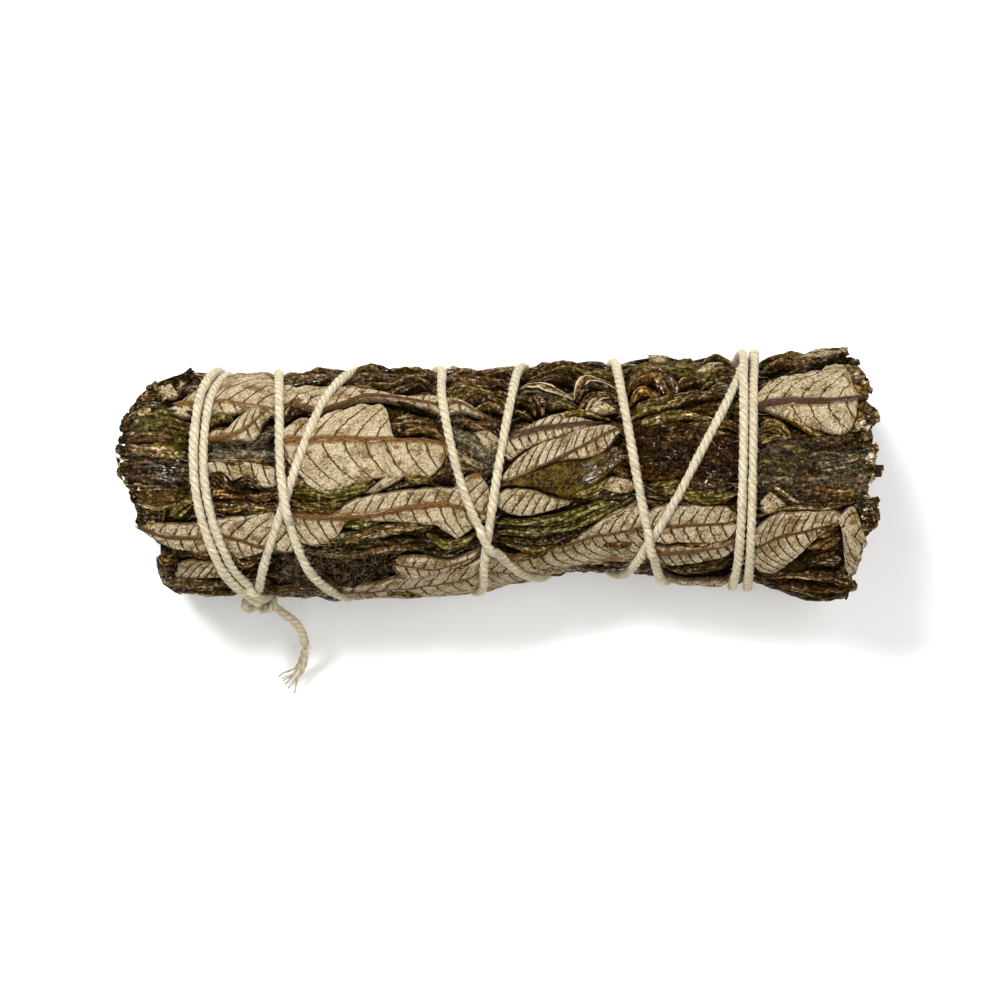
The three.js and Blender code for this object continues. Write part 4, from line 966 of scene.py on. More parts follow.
# A fringe of smaller crumbs and torn, paler bits lies along the rims of both ends.
for number in range(FRINGE):
    side = -1 if number % 3 == 0 else 1
    across = draw.uniform(-14, 14)
    rim = np.interp(across, *(LEFT_CUT if side < 0 else RIGHT_CUT).T)
    shift = draw.uniform(0, 90)
    sizes = draw.uniform(0.18, 0.50) * np.array([1.5, 1.0, 0.7]) * draw.uniform(0.6, 1.4, 3)
    place = float(rim) - side * draw.uniform(0.0, 1.7)
    angle = float(arc_at(place, across)) / float(roll_shape(np.array(place))[0])
    centre = on_roll(np.array(place), np.array(angle), np.array(draw.uniform(-0.9, 0.1)))
    shade = np.array(TINTS[draw.choice(FRINGE_TINTS, p=FRINGE_SHARES[side])])
    add_crumb(crumbs, FRINGE_ROWS, shift, sizes, 0.5, (0.2, 0.5), centre,
              shade * draw.uniform(0.6, 1.3))
# Torn bits of leaf stuck on the ends: place, half length and half width, turn in degrees
# and tint of each, measured from above.
FLAKE_GRID, FLAKE_THICKNESS = 11, 0.45
FLAKES = [
    (-46.2, 12.6, 0.95, 0.50, -30, "umber"), (-48.2, 10.1, 0.80, 0.60, 20, "grey"),
    (-49.4, 8.4, 0.75, 0.70, 40, "black"), (-50.0, 5.8, 0.50, 0.65, 0, "black"),
    (-50.3, 4.6, 0.50, 0.40, 0, "black"), (-45.2, 12.3, 0.80, 0.40, -10, "tan"),
    (-47.3, 10.9, 0.80, 0.40, -15, "umber"), (-50.2, 1.3, 0.50, 0.75, 0, "umber"),
    (-48.7, -1.0, 0.75, 0.40, -10, "umber"), (-47.6, -5.6, 0.65, 0.60, 30, "black"),
    (-46.0, -5.9, 0.80, 0.60, 35, "tan"), (-48.0, 7.7, 0.65, 0.50, 10, "grey"),
    (-47.2, 9.2, 0.90, 0.45, 5, "tan"), (-44.3, 10.8, 0.60, 0.40, 40, "tan"),
    (-49.6, 3.2, 0.60, 0.45, -20, "tan"), (-49.3, -0.2, 0.55, 0.40, 15, "tan"),
    (48.0, 12.1, 1.10, 1.30, 5, "rust"), (49.6, 8.5, 0.50, 0.80, -5, "tan"),
    (49.3, 4.2, 0.50, 1.00, -10, "rust"), (48.8, 2.2, 0.60, 0.75, 20, "cream"),
    (48.2, 6.2, 0.60, 0.75, -15, "cream"), (47.5, 7.2, 0.75, 0.60, 30, "cream"),
    (47.1, 15.6, 0.60, 0.90, 10, "black"), (49.2, -2.9, 0.75, 0.60, 0, "umber"),
    (49.0, -6.1, 0.75, 0.85, 20, "rust"), (48.3, -4.7, 0.60, 0.75, 0, "tan"),
    (46.5, -11.8, 0.75, 0.75, 10, "tan"), (46.7, -14.0, 0.60, 0.85, 0, "umber"),
    (46.2, -10.6, 0.75, 0.75, -20, "tan"), (48.8, 0.2, 0.50, 0.60, 0, "tan"),
]
for x_at, y_at, half_long, half_wide, degrees, tint in FLAKES:
    s = np.linspace(-1, 1, FLAKE_GRID)[:, None]
    t = np.linspace(-1, 1, FLAKE_GRID)[None, :]
    shift_u, shift_v = draw.uniform(0, 90, 2)
    outline = np.sqrt(1 - 0.97 * s**2) * (1 + 0.35 * crinkle(s * 2 + shift_u, np.sign(t) * 3, 2))
    along = half_long * s * (1 + 0.25 * crinkle(t * 2 + shift_v, 0 * s, 2))
    across = half_wide * outline * t
    turn = np.radians(degrees)
    x = x_at + along * np.cos(turn) - across * np.sin(turn)
    arc = arc_at(x_at, y_at) + along * np.sin(turn) + across * np.cos(turn)
    height = 0.05 + 0.30 * t**2 + 0.35 * crinkle(along * 1.3 + shift_u, across * 1.3 + shift_v, 2)
    below = np.array([8, 5, 2])
    # Painted light and shade: crest grows with the height and towards the raised edges, so higher parts
    # are painted lighter.
    crumbs.add(
        leaf_section(x, arc, height, FLAKE_THICKNESS, below),
        blade=np.stack([with_below(along + 3 * shift_u, below), with_below(across, below)], -1),
        crest=np.clip(with_below(0.55 + 0.5 * t**2 + height * 0.5, below), 0, 1),
        side=0.0, trim=0.0, gloss=0.5, tint=np.array(TINTS[tint]) * draw.uniform(0.7, 1.2))
dark_piece(cut_ends, "cut_leaf_ends")
dark_piece(crumbs, "leaf_crumbs")

# Pale leaves: single dried leaves with the woolly underside out, laid on last and held by
# the twine. Each has a raised brown midrib, side veins that curve to the tip, a fine net
# between them and a dark rolled edge.
# Thickness, and the grid: steps to a millimetre along a leaf and points across it.
PALE_THICKNESS, PALE_STEPS, PALE_ACROSS = 0.55, 4.8, 37
# Name, spacing of the side veins, width of the midrib, its darkness, height, and stations
# seen from above: place along the roll, upper edge, midrib and lower edge.
PALE_LEAVES = [
    ("top_left", 2.0, 1.0, 0.1, 0.15, [
        (-42.8, 10.1, 9.5, 8.5), (-40.5, 11.9, 10.1, 8.7), (-38.5, 13.8, 10.6, 8.9),
        (-36.1, 14.1, 10.3, 8.9), (-33.1, 14.1, 9.8, 9.1), (-30.1, 13.5, 9.5, 8.9),
        (-27.7, 12.6, 9.8, 9.1), (-25.5, 11.6, 10.4, 10.1)]),
    ("curled", 1.6, 1.0, 0.05, 0.42, [
        (-39.5, 6.6, 5.3, 5.0), (-37.5, 6.7, 5.2, 4.9), (-36.1, 6.7, 5.4, 4.9), (-34.6, 8.2, 5.8, 4.9),
        (-33.1, 9.1, 6.7, 4.8), (-31.9, 9.4, 7.9, 4.9), (-30.7, 9.2, 9.0, 6.2)]),
    ("upper_strip", 2.0, 0.9, 0.7, 0.22, [
        (-28.9, 11.9, 10.0, 9.4), (-25.7, 12.6, 9.4, 9.0), (-23.0, 12.8, 9.3, 9.1),
        (-20.5, 12.6, 9.8, 9.5), (-18.0, 12.0, 10.7, 10.3), (-15.3, 11.5, 10.7, 10.3),
        (-12.9, 11.2, 10.5, 10.0), (-9.9, 11.3, 10.2, 9.6), (-7.9, 11.4, 10.1, 9.1),
        (-6.0, 10.9, 10.1, 9.1), (-4.0, 10.1, 9.4, 8.7), (-2.0, 8.9, 8.5, 7.9), (-0.9, 7.9, 7.8, 7.5)]),
    ("broad", 2.7, 1.25, 0.1, 0.25, [
        (-28.8, 7.2, 5.1, 3.0), (-26.7, 8.2, 5.1, 0.3), (-24.2, 8.5, 5.1, -1.3),
        (-21.7, 9.1, 5.2, -1.8), (-19.3, 9.8, 5.2, -1.0), (-16.8, 10.1, 5.2, -0.0),
        (-15.1, 9.5, 5.2, 0.2), (-14.4, 7.2, 5.2, 0.2), (-13.8, 5.7, 5.1, 0.1),
        (-11.4, 5.6, 5.1, -0.0), (-8.9, 5.4, 4.9, 0.4), (-7.4, 5.1, 4.6, 1.7), (-6.6, 4.2, 4.0, 3.0)]),
    ("left_middle", 1.6, 0.0, 0.5, 0.15, [
        (-39.3, 2.6, 2.4, 0.9), (-37.3, 2.5, 2.4, 0.5), (-35.6, 2.5, 2.4, -0.4),
        (-33.6, 2.4, 2.3, 0.1), (-31.6, 2.0, 1.9, -1.0), (-29.7, 1.7, 1.6, -1.3),
        (-28.2, 1.0, 0.9, -0.5)]),
    ("left_low", 1.9, 0.8, 0.6, 0.22, [
        (-47.9, -6.1, -6.5, -6.9), (-46.2, -5.6, -6.8, -7.9), (-44.0, -5.7, -7.3, -8.8),
        (-41.5, -5.8, -7.4, -9.5), (-39.5, -5.5, -7.4, -9.8), (-37.1, -5.2, -7.4, -10.6),
        (-34.6, -4.7, -7.9, -10.7), (-32.1, -4.3, -8.7, -10.0), (-29.7, -4.4, -9.2, -9.7),
        (-27.2, -6.1, -9.5, -9.8)]),
    ("left_edge", 1.1, 0.0, 0.5, 0.25, [
        (-42.9, -10.6, -12.7, -12.8), (-41.5, -10.7, -13.0, -13.1), (-39.5, -10.8, -13.1, -13.2),
        (-37.1, -11.1, -13.1, -13.2), (-35.1, -11.9, -12.9, -13.0)]),
    ("long", 1.8, 1.1, 0.1, 0.22, [
        (-27.8, -4.2, -4.4, -5.4), (-26.7, -4.2, -4.5, -8.6), (-24.2, -4.4, -4.8, -8.7),
        (-21.7, -4.2, -4.9, -7.9), (-20.3, -3.1, -4.8, -5.9), (-18.5, -2.3, -4.7, -5.6),
        (-15.6, -1.7, -4.2, -5.7), (-11.9, -1.2, -3.6, -5.9), (-8.4, -1.0, -3.3, -6.2),
        (-6.2, -0.9, -3.4, -7.8), (-5.0, -0.0, -3.8, -7.5), (-3.2, 1.1, -4.3, -6.5),
        (-1.8, 0.8, -4.4, -5.6), (-0.9, -0.7, -4.3, -4.7)]),
    ("low_strip", 1.5, 0.45, 0.5, 0.28, [
        (-14.0, -10.3, -11.1, -13.5), (-11.9, -10.1, -11.4, -13.1), (-9.4, -10.2, -11.5, -12.5),
        (-6.9, -10.5, -11.1, -11.9), (-4.5, -9.9, -10.5, -11.2), (-2.4, -9.1, -9.6, -10.2)]),
    ("low_edge", 2.2, 0.5, 0.4, 0.1, [
        (-21.0, -14.2, -14.7, -15.3), (-16.8, -14.2, -15.0, -15.9), (-13.4, -13.3, -14.6, -15.9),
        (-9.4, -12.4, -13.8, -15.9), (-5.7, -11.3, -13.1, -15.5), (-2.0, -10.3, -12.2, -14.9),
        (0.5, -10.9, -12.4, -14.4), (2.9, -12.1, -13.0, -14.1), (5.4, -12.6, -13.1, -13.8),
        (8.6, -12.1, -12.5, -13.2), (12.0, -11.5, -11.9, -12.4)]),
    ("pair_upper", 1.15, 1.15, 0.95, 0.2, [
        (0.2, 6.0, 5.2, 3.0), (1.3, 6.4, 5.7, 2.2), (3.2, 7.1, 6.1, 3.8), (5.5, 8.2, 6.7, 4.8),
        (7.7, 8.8, 7.0, 5.5), (10.2, 8.6, 7.3, 6.4), (12.1, 8.2, 7.5, 7.0), (13.5, 7.9, 7.7, 7.4)]),
    ("pair_lower", 1.35, 0.8, 0.7, 0.34, [
        (-0.1, 0.1, -0.5, -1.0), (1.3, 2.1, -0.1, -0.6), (3.2, 3.8, 0.7, 0.3), (5.7, 4.9, 1.8, 1.6),
        (8.2, 5.8, 3.0, 2.4), (10.6, 6.7, 4.2, 2.6), (12.6, 7.2, 5.2, 3.1), (14.6, 7.5, 6.2, 4.2),
        (15.8, 7.0, 6.7, 6.2)]),
    ("under_olive", 1.5, 0.0, 0.5, 0.15, [
        (-0.5, -1.0, -3.6, -3.8), (1.3, -0.9, -4.5, -4.7), (3.5, -1.0, -4.8, -5.0),
        (5.5, -1.7, -4.4, -4.6), (7.2, -2.4, -4.0, -4.1), (9.2, -2.5, -3.3, -3.4)]),
    ("low_middle", 1.5, 0.85, 0.55, 0.25, [
        (0.8, -10.5, -10.7, -11.1), (3.0, -9.9, -10.2, -12.4), (5.5, -8.8, -9.3, -11.9),
        (7.9, -8.1, -8.7, -11.5), (10.2, -7.4, -8.1, -11.2), (12.1, -6.1, -7.3, -11.2),
        (14.6, -4.3, -6.8, -11.3), (17.1, -3.7, -6.4, -11.5), (19.0, -3.6, -6.2, -11.4),
        (20.8, -4.0, -6.1, -9.6)]),
    ("right_strip", 1.7, 0.7, 0.6, 0.2, [
        (19.0, -3.8, -6.2, -8.4), (21.1, -3.4, -6.2, -8.6), (23.3, -3.3, -6.1, -8.4),
        (25.8, -3.3, -6.0, -8.5), (28.2, -3.3, -5.9, -8.5), (30.0, -3.4, -5.7, -8.2),
        (31.4, -4.0, -5.5, -6.9)]),
    ("right_low", 1.3, 1.0, 0.6, 0.26, [
        (19.5, -8.6, -9.5, -11.1), (21.8, -8.7, -9.4, -11.2), (24.3, -8.6, -9.2, -11.1),
        (26.8, -8.4, -9.0, -10.9), (29.2, -8.1, -8.6, -10.5), (31.7, -7.8, -8.3, -9.9)]),
    ("top_right", 2.4, 1.7, 1.0, 0.25, [
        (33.5, 12.4, 9.8, 9.1), (34.6, 12.7, 9.8, 9.1), (36.6, 13.1, 9.9, 8.3),
        (39.1, 13.7, 10.0, 7.4), (41.6, 14.3, 10.1, 6.6), (43.5, 14.8, 10.2, 6.1),
        (45.4, 15.4, 10.4, 5.6), (46.1, 14.5, 10.4, 5.5), (47.2, 11.1, 10.5, 6.0)]),
    ("right_end", 1.3, 0.6, 0.7, 0.28, [
        (33.5, -5.2, -9.1, -12.8), (34.6, -4.9, -8.4, -12.7), (36.6, -4.3, -7.4, -11.9),
        (38.6, -4.0, -6.9, -10.6), (40.6, -3.8, -6.5, -8.7), (42.5, -3.8, -6.0, -7.2),
        (44.0, -3.7, -5.6, -6.4), (45.2, -4.0, -5.4, -5.8)]),
]
# Torn scraps of pale leaf that show between the rest, as stations seen from above.
PALE_SCRAPS = [
    [(12.1, 9.6, 9.1, 8.6), (13.4, 10.3, 9.4, 8.4), (15.0, 9.6, 9.0, 8.5)],
    [(13.6, 0.3, -0.7, -1.8), (15.6, 0.5, -0.5, -2.0), (18.0, -0.0, -0.8, -1.8)],
    [(40.1, 16.3, 16.1, 15.9), (42.3, 16.8, 16.5, 16.0), (44.3, 17.2, 16.8, 16.2),
        (46.4, 17.5, 17.1, 16.5)],
    [(34.4, -2.2, -3.3, -4.8), (35.6, -1.4, -2.8, -4.5), (37.5, -2.9, -3.3, -3.7)],
    [(21.6, -12.9, -13.2, -13.5), (24.3, -13.0, -13.3, -13.7), (27.5, -13.1, -13.4, -13.8),
        (30.7, -13.3, -13.6, -13.8)],
    [(-44.8, 12.1, 11.5, 10.8), (-43.8, 12.6, 11.5, 10.5), (-42.8, 11.9, 11.1, 10.5)],
    [(-43.3, 9.9, 9.1, 8.6), (-42.2, 10.1, 9.2, 8.2), (-40.9, 9.9, 9.1, 8.1)],
    [(-42.7, 12.4, 11.7, 11.0), (-41.9, 12.8, 12.1, 11.4)],
    [(44.9, -3.8, -4.9, -6.4), (45.6, -3.4, -6.9, -11.6), (46.7, -3.4, -7.6, -12.6),
        (47.8, -5.9, -8.4, -10.8)],
    [(26.4, 14.2, 13.8, 13.5), (27.7, 14.9, 14.5, 13.8), (29.0, 15.1, 14.8, 14.5)],
    [(20.2, 16.2, 15.8, 15.3), (21.3, 16.3, 15.8, 15.1), (22.1, 16.3, 15.9, 15.6)],
    [(-3.2, 6.6, 5.8, 5.2), (-1.9, 6.5, 5.2, 3.8), (-0.4, 6.2, 4.5, 2.7)],
    [(-17.7, -1.5, -1.8, -2.0), (-16.1, -0.2, -0.8, -1.7), (-13.8, 1.2, 0.5, -0.5),
        (-11.9, 1.9, 1.6, 0.7), (-11.1, 1.9, 1.7, 1.4)],
]
# Rows on the hidden side: angle from the top in degrees, and start and end of each leaf.
PALE_ROWS_BELOW = [
    (112, [(-44, -21), (-4, 20)]), (146, [(-24, 0), (13, 39)]),
    (180, [(-28, -17), (-8, 5), (15, 26), (36.5, 47)]),
    (214, [(-26, -2), (5, 32)]), (248, [(-15, 9), (24, 47)]),
]


def pale_leaf(lofts, draw, stations, spacing, rib, aged, lift, finer=1.0):
    """Add a leaf through stations of (x, upper, midrib, lower), lengths round the roll.
    Its height is slow waves, a round midrib, wool puffed up between the side veins, and
    edges that roll up a little and then turn down."""
    length = stations[-1][0] - stations[0][0]
    steps = int(np.clip(length * PALE_STEPS * finer, 24, 116))
    count = int(PALE_ACROSS * finer**0.5) | 1
    x, upper, middle, lower = leaf_rows(stations, steps)
    t = np.linspace(-1, 1, count)[None, :]
    shift_u, shift_v = draw.uniform(0, 90, 2)
    s = np.linspace(0, 1, steps)[:, None]
    torn = 0.9 / (length + 3)
    ends = 1 - 0.55 * np.exp(-s / torn) - 0.55 * np.exp((s - 1) / torn)
    side_width = np.where(t > 0, upper - middle, middle - lower) * ends
    wavy = 1 + 0.07 * crinkle(x * 0.9 + shift_u, np.sign(t) * 3 + shift_v, 3) * np.abs(t) ** 3
    across = t * side_width * wavy
    step = np.hypot(np.diff(x, axis=0), np.diff(middle, axis=0))
    along = np.concatenate([0 * step[:1], np.cumsum(step, axis=0)]) + 0 * t
    x = x + 0.6 * crinkle(t * 1.9 + shift_u, 0 * x, 3) * (np.exp((s - 1) / torn) - np.exp(-s / torn))
    reach = np.abs(across)
    bend = np.where(t > 0, 0.30, 0.15) + 0.115 * reach
    phase = along - bend * reach + 0.16 * crinkle(along / 4 + shift_u, across / 4 + shift_v, 2)
    phase = phase / spacing + np.where(t > 0, 0.45, 0.0) + 40
    rib_half = 0.36 * max(rib, 0.01) * (1.2 - 0.6 * s) + 0 * t
    puff = np.abs(np.sin(np.pi * phase)) ** 0.5 * np.minimum(reach / 0.8, 1)
    edge_gap = np.maximum(side_width * (1 - np.abs(t)), 0)
    roll = np.exp(-(((edge_gap - 0.45) / 0.28) ** 2)) * (0.5 + 0.5 * crinkle(along / 4, t + shift_u, 2))
    wave = crinkle(along / 5.5 + shift_v, across / 3.6 + shift_u, 3)
    height = (lift + 0.12 * puff * np.minimum(edge_gap / 0.5, 1) + 0.34 * wave + 0.16 * roll
              + 0.40 * min(rib, 1) * np.exp(-((across / rib_half) ** 2) * 0.9)
              - 0.55 * np.exp(-edge_gap / 0.22))
    below = np.linspace(count - 2, 1, 9).round().astype(int)
    section = leaf_section(x, middle + across, height, PALE_THICKNESS, below)
    lofts.add(
        section,
        blade=np.stack([with_below(along + 5 * shift_u, below), round_section(section)], -1),
        veins=np.stack([with_below(phase, below), with_below(reach, below)], -1),
        edge=with_below(edge_gap + 0 * x, below), spacing=spacing, aged=aged,
        rib=with_below(reach / rib_half if rib else reach + 9, below))


def pale_leaf_material():
    """Woolly leaf underside: cream to grey with warm stains, dark side veins that follow
    the puffed wool, a fine net, a brown midrib and a dark rim."""
    material, dye = new_material("pale_leaf")
    blade = dye.uv("blade")
    along, across, _ = blade.split()
    phase, reach, _ = dye.uv("veins").split()
    edge, aged = dye.attribute("edge"), dye.attribute("aged")
    warp = dye.noise(blade, 0.8, 3.0)
    bent = phase + (warp - 0.5) * 0.22 + (dye.noise(blade, 1.6, 2.0) - 0.5) * (0.10 + aged * 0.2)
    to_vein = (0.5 - abs(bent.fraction() - 0.5)) * dye.attribute("spacing")
    width = 0.125 + dye.noise(blade, 0.7, 2.0) * 0.12 - reach * 0.007 - aged * 0.040
    strength = 0.55 + edge.rising(0.1, 1.2) * 0.45
    vein = (1 - (to_vein / width).rising(0.60, 1.05)) * strength
    warped = dye.joined(along + warp * 1.3, across + warp * 0.9)
    net_line = 1 - dye.cell_edges(warped, 0.66).rising(0.014, 0.046)
    fine_line = 1 - dye.cell_edges(blade, 2.3).rising(0.01, 0.10)
    wool = dye.noise(blade, 4.2, 3.0, 0.75)
    grain = dye.noise(blade, 1.9, 4.0, 0.7)
    cloud = dye.noise(blade, 0.4, 3.0)
    stain = dye.noise(dye.joined(along * 0.5, across * 0.7, 4.0), 0.8, 5.0)
    speck = dye.noise(blade, 3.0, 2.0)
    light = (wool - 0.5) * 2.5 + (grain - 0.5) * 1.7 + 0.67 - cloud.rising(0.35, 0.65) * 0.24
    light = light - stain.rising(0.48, 0.68) * 0.56
    light = light.node("ShaderNodeClamp", None, {0: light})
    colour = light.rising(0.0, 0.45).mixed((0.13, 0.078, 0.028), (0.33, 0.262, 0.155))
    colour = light.rising(0.40, 1.0).mixed(colour, (0.54, 0.458, 0.315))
    colour = (stain.rising(0.62, 0.70) * 0.55).mixed(colour, (0.20, 0.080, 0.018))
    colour = (fine_line * 0.28).mixed(colour, (0.14, 0.085, 0.030))
    colour = (speck.rising(0.70, 0.74) * 0.8).mixed(colour, (0.045, 0.022, 0.006))
    near_edge = 1 - edge.rising(0.4, 2.2)
    net = net_line * (cloud * 0.6 + aged * 0.40 + near_edge * 0.30 - 0.03)
    colour = net.mixed(colour, (0.080, 0.040, 0.010))
    colour = (vein * 0.98).mixed(colour, aged.mixed((0.062, 0.030, 0.006), (0.016, 0.007, 0.002)))
    rib = dye.attribute("rib")
    streak = dye.noise(dye.joined(along * 0.9, across * 4.0), 1.6, 5.0, 0.7)
    young = streak.rising(0.35, 0.65).mixed((0.050, 0.019, 0.003), (0.215, 0.104, 0.024))
    old = streak.rising(0.35, 0.65).mixed((0.018, 0.007, 0.003), (0.080, 0.038, 0.020))
    in_rib = 1 - rib.rising(0.85, 1.15)
    colour = in_rib.mixed(colour, aged.mixed(young, old))
    beside = rib.rising(0.95, 1.15) * (1 - rib.rising(1.2, 1.7))
    colour = (beside * 0.6).mixed(colour, (0.075, 0.036, 0.008))
    rim = 1 - (edge + (stain - 0.5) * 0.5).rising(0.06, 0.30)
    colour = (rim * 0.85).mixed(colour, (0.045, 0.022, 0.006))
    puffed = to_vein.rising(0.0, 0.40) * 0.12 + dye.cell_edges(warped, 0.95).rising(0.0, 0.25) * 0.05
    relief = puffed + wool * 0.14 + grain * 0.20
    finish_material(dye, colour, 0.95 - in_rib * 0.35, relief, 1.0, specular=0.04,
                    coat=in_rib * streak * 0.25)
    return material


pale_material = pale_leaf_material()


def pale_piece(lofts, name):
    """Make a piece of pale leaf from its lofts."""
    return lofts.piece(name, pale_material, "pale_leaf",
                       floats=("edge", "rib", "spacing", "aged"), uvs=("blade", "veins"))


draw = np.random.default_rng(29)
for name, spacing, rib, aged, lift, stations in PALE_LEAVES:
    leaf = Lofts()
    pale_leaf(leaf, draw, seen(stations), spacing, rib, aged, lift)
    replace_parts(pale_piece(leaf, "dressed_" + name), "pale_leaf_" + name)
for degrees, spans in PALE_ROWS_BELOW:
    for number, (low, high) in enumerate(spans, 1):
        leaf = Lofts()
        half = draw.uniform(3.3, 4.3)
        slant = draw.uniform(-1.2, 1.2)
        s = np.linspace(0, 1, 7)
        x = low + (high - low) * s
        middle = np.radians(degrees) * MEAN_RADIUS + slant * (2 * s - 1)
        width = half * np.sin(np.pi * (0.10 + 0.85 * s)) ** 0.7
        skew = draw.uniform(0.85, 1.15)
        stations = np.stack([x, middle + width * skew, middle, middle - width], 1)
        pale_leaf(leaf, draw, stations, draw.uniform(1.4, 2.4), 0.9, draw.uniform(0, 1), 0.3, 0.55)
        node = f"below_{degrees}_{number}"
        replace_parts(pale_piece(leaf, "dressed_" + node), "pale_leaf_" + node)
scraps = Lofts()
for stations in PALE_SCRAPS:
    pale_leaf(scraps, draw, seen(stations), 2.3, 0.0, 0.5, 0.5, 0.5)
pale_piece(scraps, "pale_leaf_scraps")

# Woody stems: five thin brown stems that the leaves were rolled round, through the whole
# roll. They have cracked bark, and they were cut with the leaves, so dry wood shows there.
STEM_STEPS, STEM_AROUND = 120, 18
# Place across the roll, height, radius, and start and end along the roll.
STEMS = [
    (1.2, 15.6, 1.1, -45.5, 51.2), (8.6, 20.2, 0.95, -47.5, 50.2),
    (-5.4, 19.4, 1.2, -48.2, 50.4), (-3.2, 9.2, 1.3, -49.0, 47.5),
    (6.6, 9.8, 1.0, -49.0, 49.6),
]
STEM_BEND, STEM_BEND_ENDS = 0.8, 30


def stem_material():
    """Thin bark: brown with lengthwise cracks, and paler, dry wood on the cut ends."""
    material, dye = new_material("stem_bark")
    along, around, _ = dye.uv("bark").split()
    cut = dye.attribute("cut")
    bark = dye.noise(dye.joined(along * 0.4, around * 3.0), 1.4, 5.0)
    colour = bark.rising(0.35, 0.65).mixed((0.012, 0.006, 0.003), (0.080, 0.044, 0.022))
    rings = dye.noise(dye.place(), 2600.0, 4.0)
    wood = rings.rising(0.42, 0.58).mixed((0.030, 0.016, 0.008), (0.17, 0.105, 0.050))
    colour = cut.rising(0.2, 0.5).mixed(colour, wood)
    finish_material(dye, colour, 0.75 + bark * 0.2, bark, 0.3, specular=0.05)
    return material


bark_material = stem_material()
for number, (across, height, radius, low, high) in enumerate(STEMS, 1):
    x = np.concatenate([[low, low], np.linspace(low, high, STEM_STEPS), [high, high]])[:, None]
    turn = whole_turn(STEM_AROUND)
    inside = np.abs(x) < STEM_BEND_ENDS
    bend = np.where(inside, STEM_BEND * np.cos(np.pi / 2 * x / STEM_BEND_ENDS), 0)
    bend = bend * -np.sign(across)
    share = np.ones_like(x)
    share[[0, -1]] = 0.02
    share[[1, -2]] = 0.75
    knobs = 1 + 0.10 * crinkle(x / 2.5 + 7 * number, 1.4 * np.cos(turn), 2)
    thin = 1 - 0.26 * np.clip((np.abs(x) - 42) / 6, 0, 1)
    r = radius * share * knobs * thin * 0.96
    chipped = 0.35 * crinkle(1.2 * np.cos(turn) + 5 * number, 1.2 * np.sin(turn), 2) - 0.3
    chipped = np.sign(x) * chipped * np.clip((np.abs(x) - 47) / 2, 0, 1)
    rings = np.stack([x + chipped, across + bend + r * np.sin(turn),
                      height + bend * 0.4 + r * np.cos(turn)], -1)
    stem = Lofts()
    stem.add(rings, bark=np.stack([x + 0 * turn, turn + 0 * x], -1),
             cut=np.broadcast_to(1.0 - (share > 0.99), rings.shape[:2]))
    piece = stem.piece(f"stem_bark_{number}", bark_material, "stem_wood",
                       floats=("cut",), uvs=("bark",))
    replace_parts(piece, f"woody_stem_{number}")

# Binding twine: one length of undyed cotton, three plies twisted together, wound along
# the roll and back, knotted low on the left with its short end hanging down.
TWINE_RADIUS = 0.6
TWINE_HEIGHT = -0.05
CROSSING_LIFT, CROSSING_REACH = 1.3, 1.5
PLY_TWIST = 3.3
TWINE_STEPS, TWINE_AROUND, KNOT_STEPS, TAIL_STEPS = 4300, 15, 150, 160
KNOT_PLACE, KNOT_DEGREES, KNOT_HEIGHT = -32.1, -92, 0.8
TWINE_TAIL = np.array([
    [-31.2, -16.2, 13.6], [-29.2, -17.6, 13.2], [-27.0, -19.6, 10.6],
    [-26.2, -22.2, 6.6], [-26.8, -24.8, 3.0], [-28.8, -27.4, 0.75],
])
TAIL_WHOLE, FRAY_OVERLAP = 0.58, 6
# The frayed strands: how far each spreads sideways and rises.
FRAYED = [(-1.5, 0.5), (-0.6, 0.9), (0.1, 0.1), (0.7, 0.8), (1.3, 0.3)]
FRAYED_RADIUS, FRAYED_TAPER = 0.30, 0.65


def twine_crossing(degrees, side):
    """How close, from 0 to 1, the twine passes to turns wound before it (side -1) or
    after it (side 1): one less the fourth power of their distance."""
    closest = np.zeros_like(degrees)
    for turns in range(1, 10):
        other = degrees + 360 * turns * side
        real = (other >= TWINE_ROUTE[0, 0]) & (other <= TWINE_ROUTE[-1, 0])
        apart = np.abs(twine_place(other) - twine_place(degrees)) / CROSSING_REACH
        closest = np.maximum(closest, np.where(real, 1 - apart**4, 0))
    return closest


def twine_points(degrees):
    """The twine's centre: on the roll at its place, lifted over earlier turns above, and
    pressed in below so that it stays clear of the surface."""
    x = twine_place(degrees)
    angle = np.radians(degrees)
    upper = (1 + np.cos(angle)) / 2
    height = TWINE_HEIGHT + CROSSING_LIFT * twine_crossing(degrees, -1) * upper
    down = np.maximum(-np.cos(angle), 1e-6)
    radius, drift = roll_shape(x)
    most = (radius - REST_SINK - TWINE_RADIUS - 0.1) / down - radius
    height = np.where(np.cos(angle) < 0, np.minimum(height, most), height)
    height = height - CROSSING_LIFT * twine_crossing(degrees, 1) * (1 - upper)
    outward = np.stack([0 * x, np.sin(angle), np.cos(angle)], -1)
    return on_roll(x, angle, height), outward


def unit(vectors):
    """The vectors, each divided by its length."""
    return vectors / np.linalg.norm(vectors, axis=-1, keepdims=True)


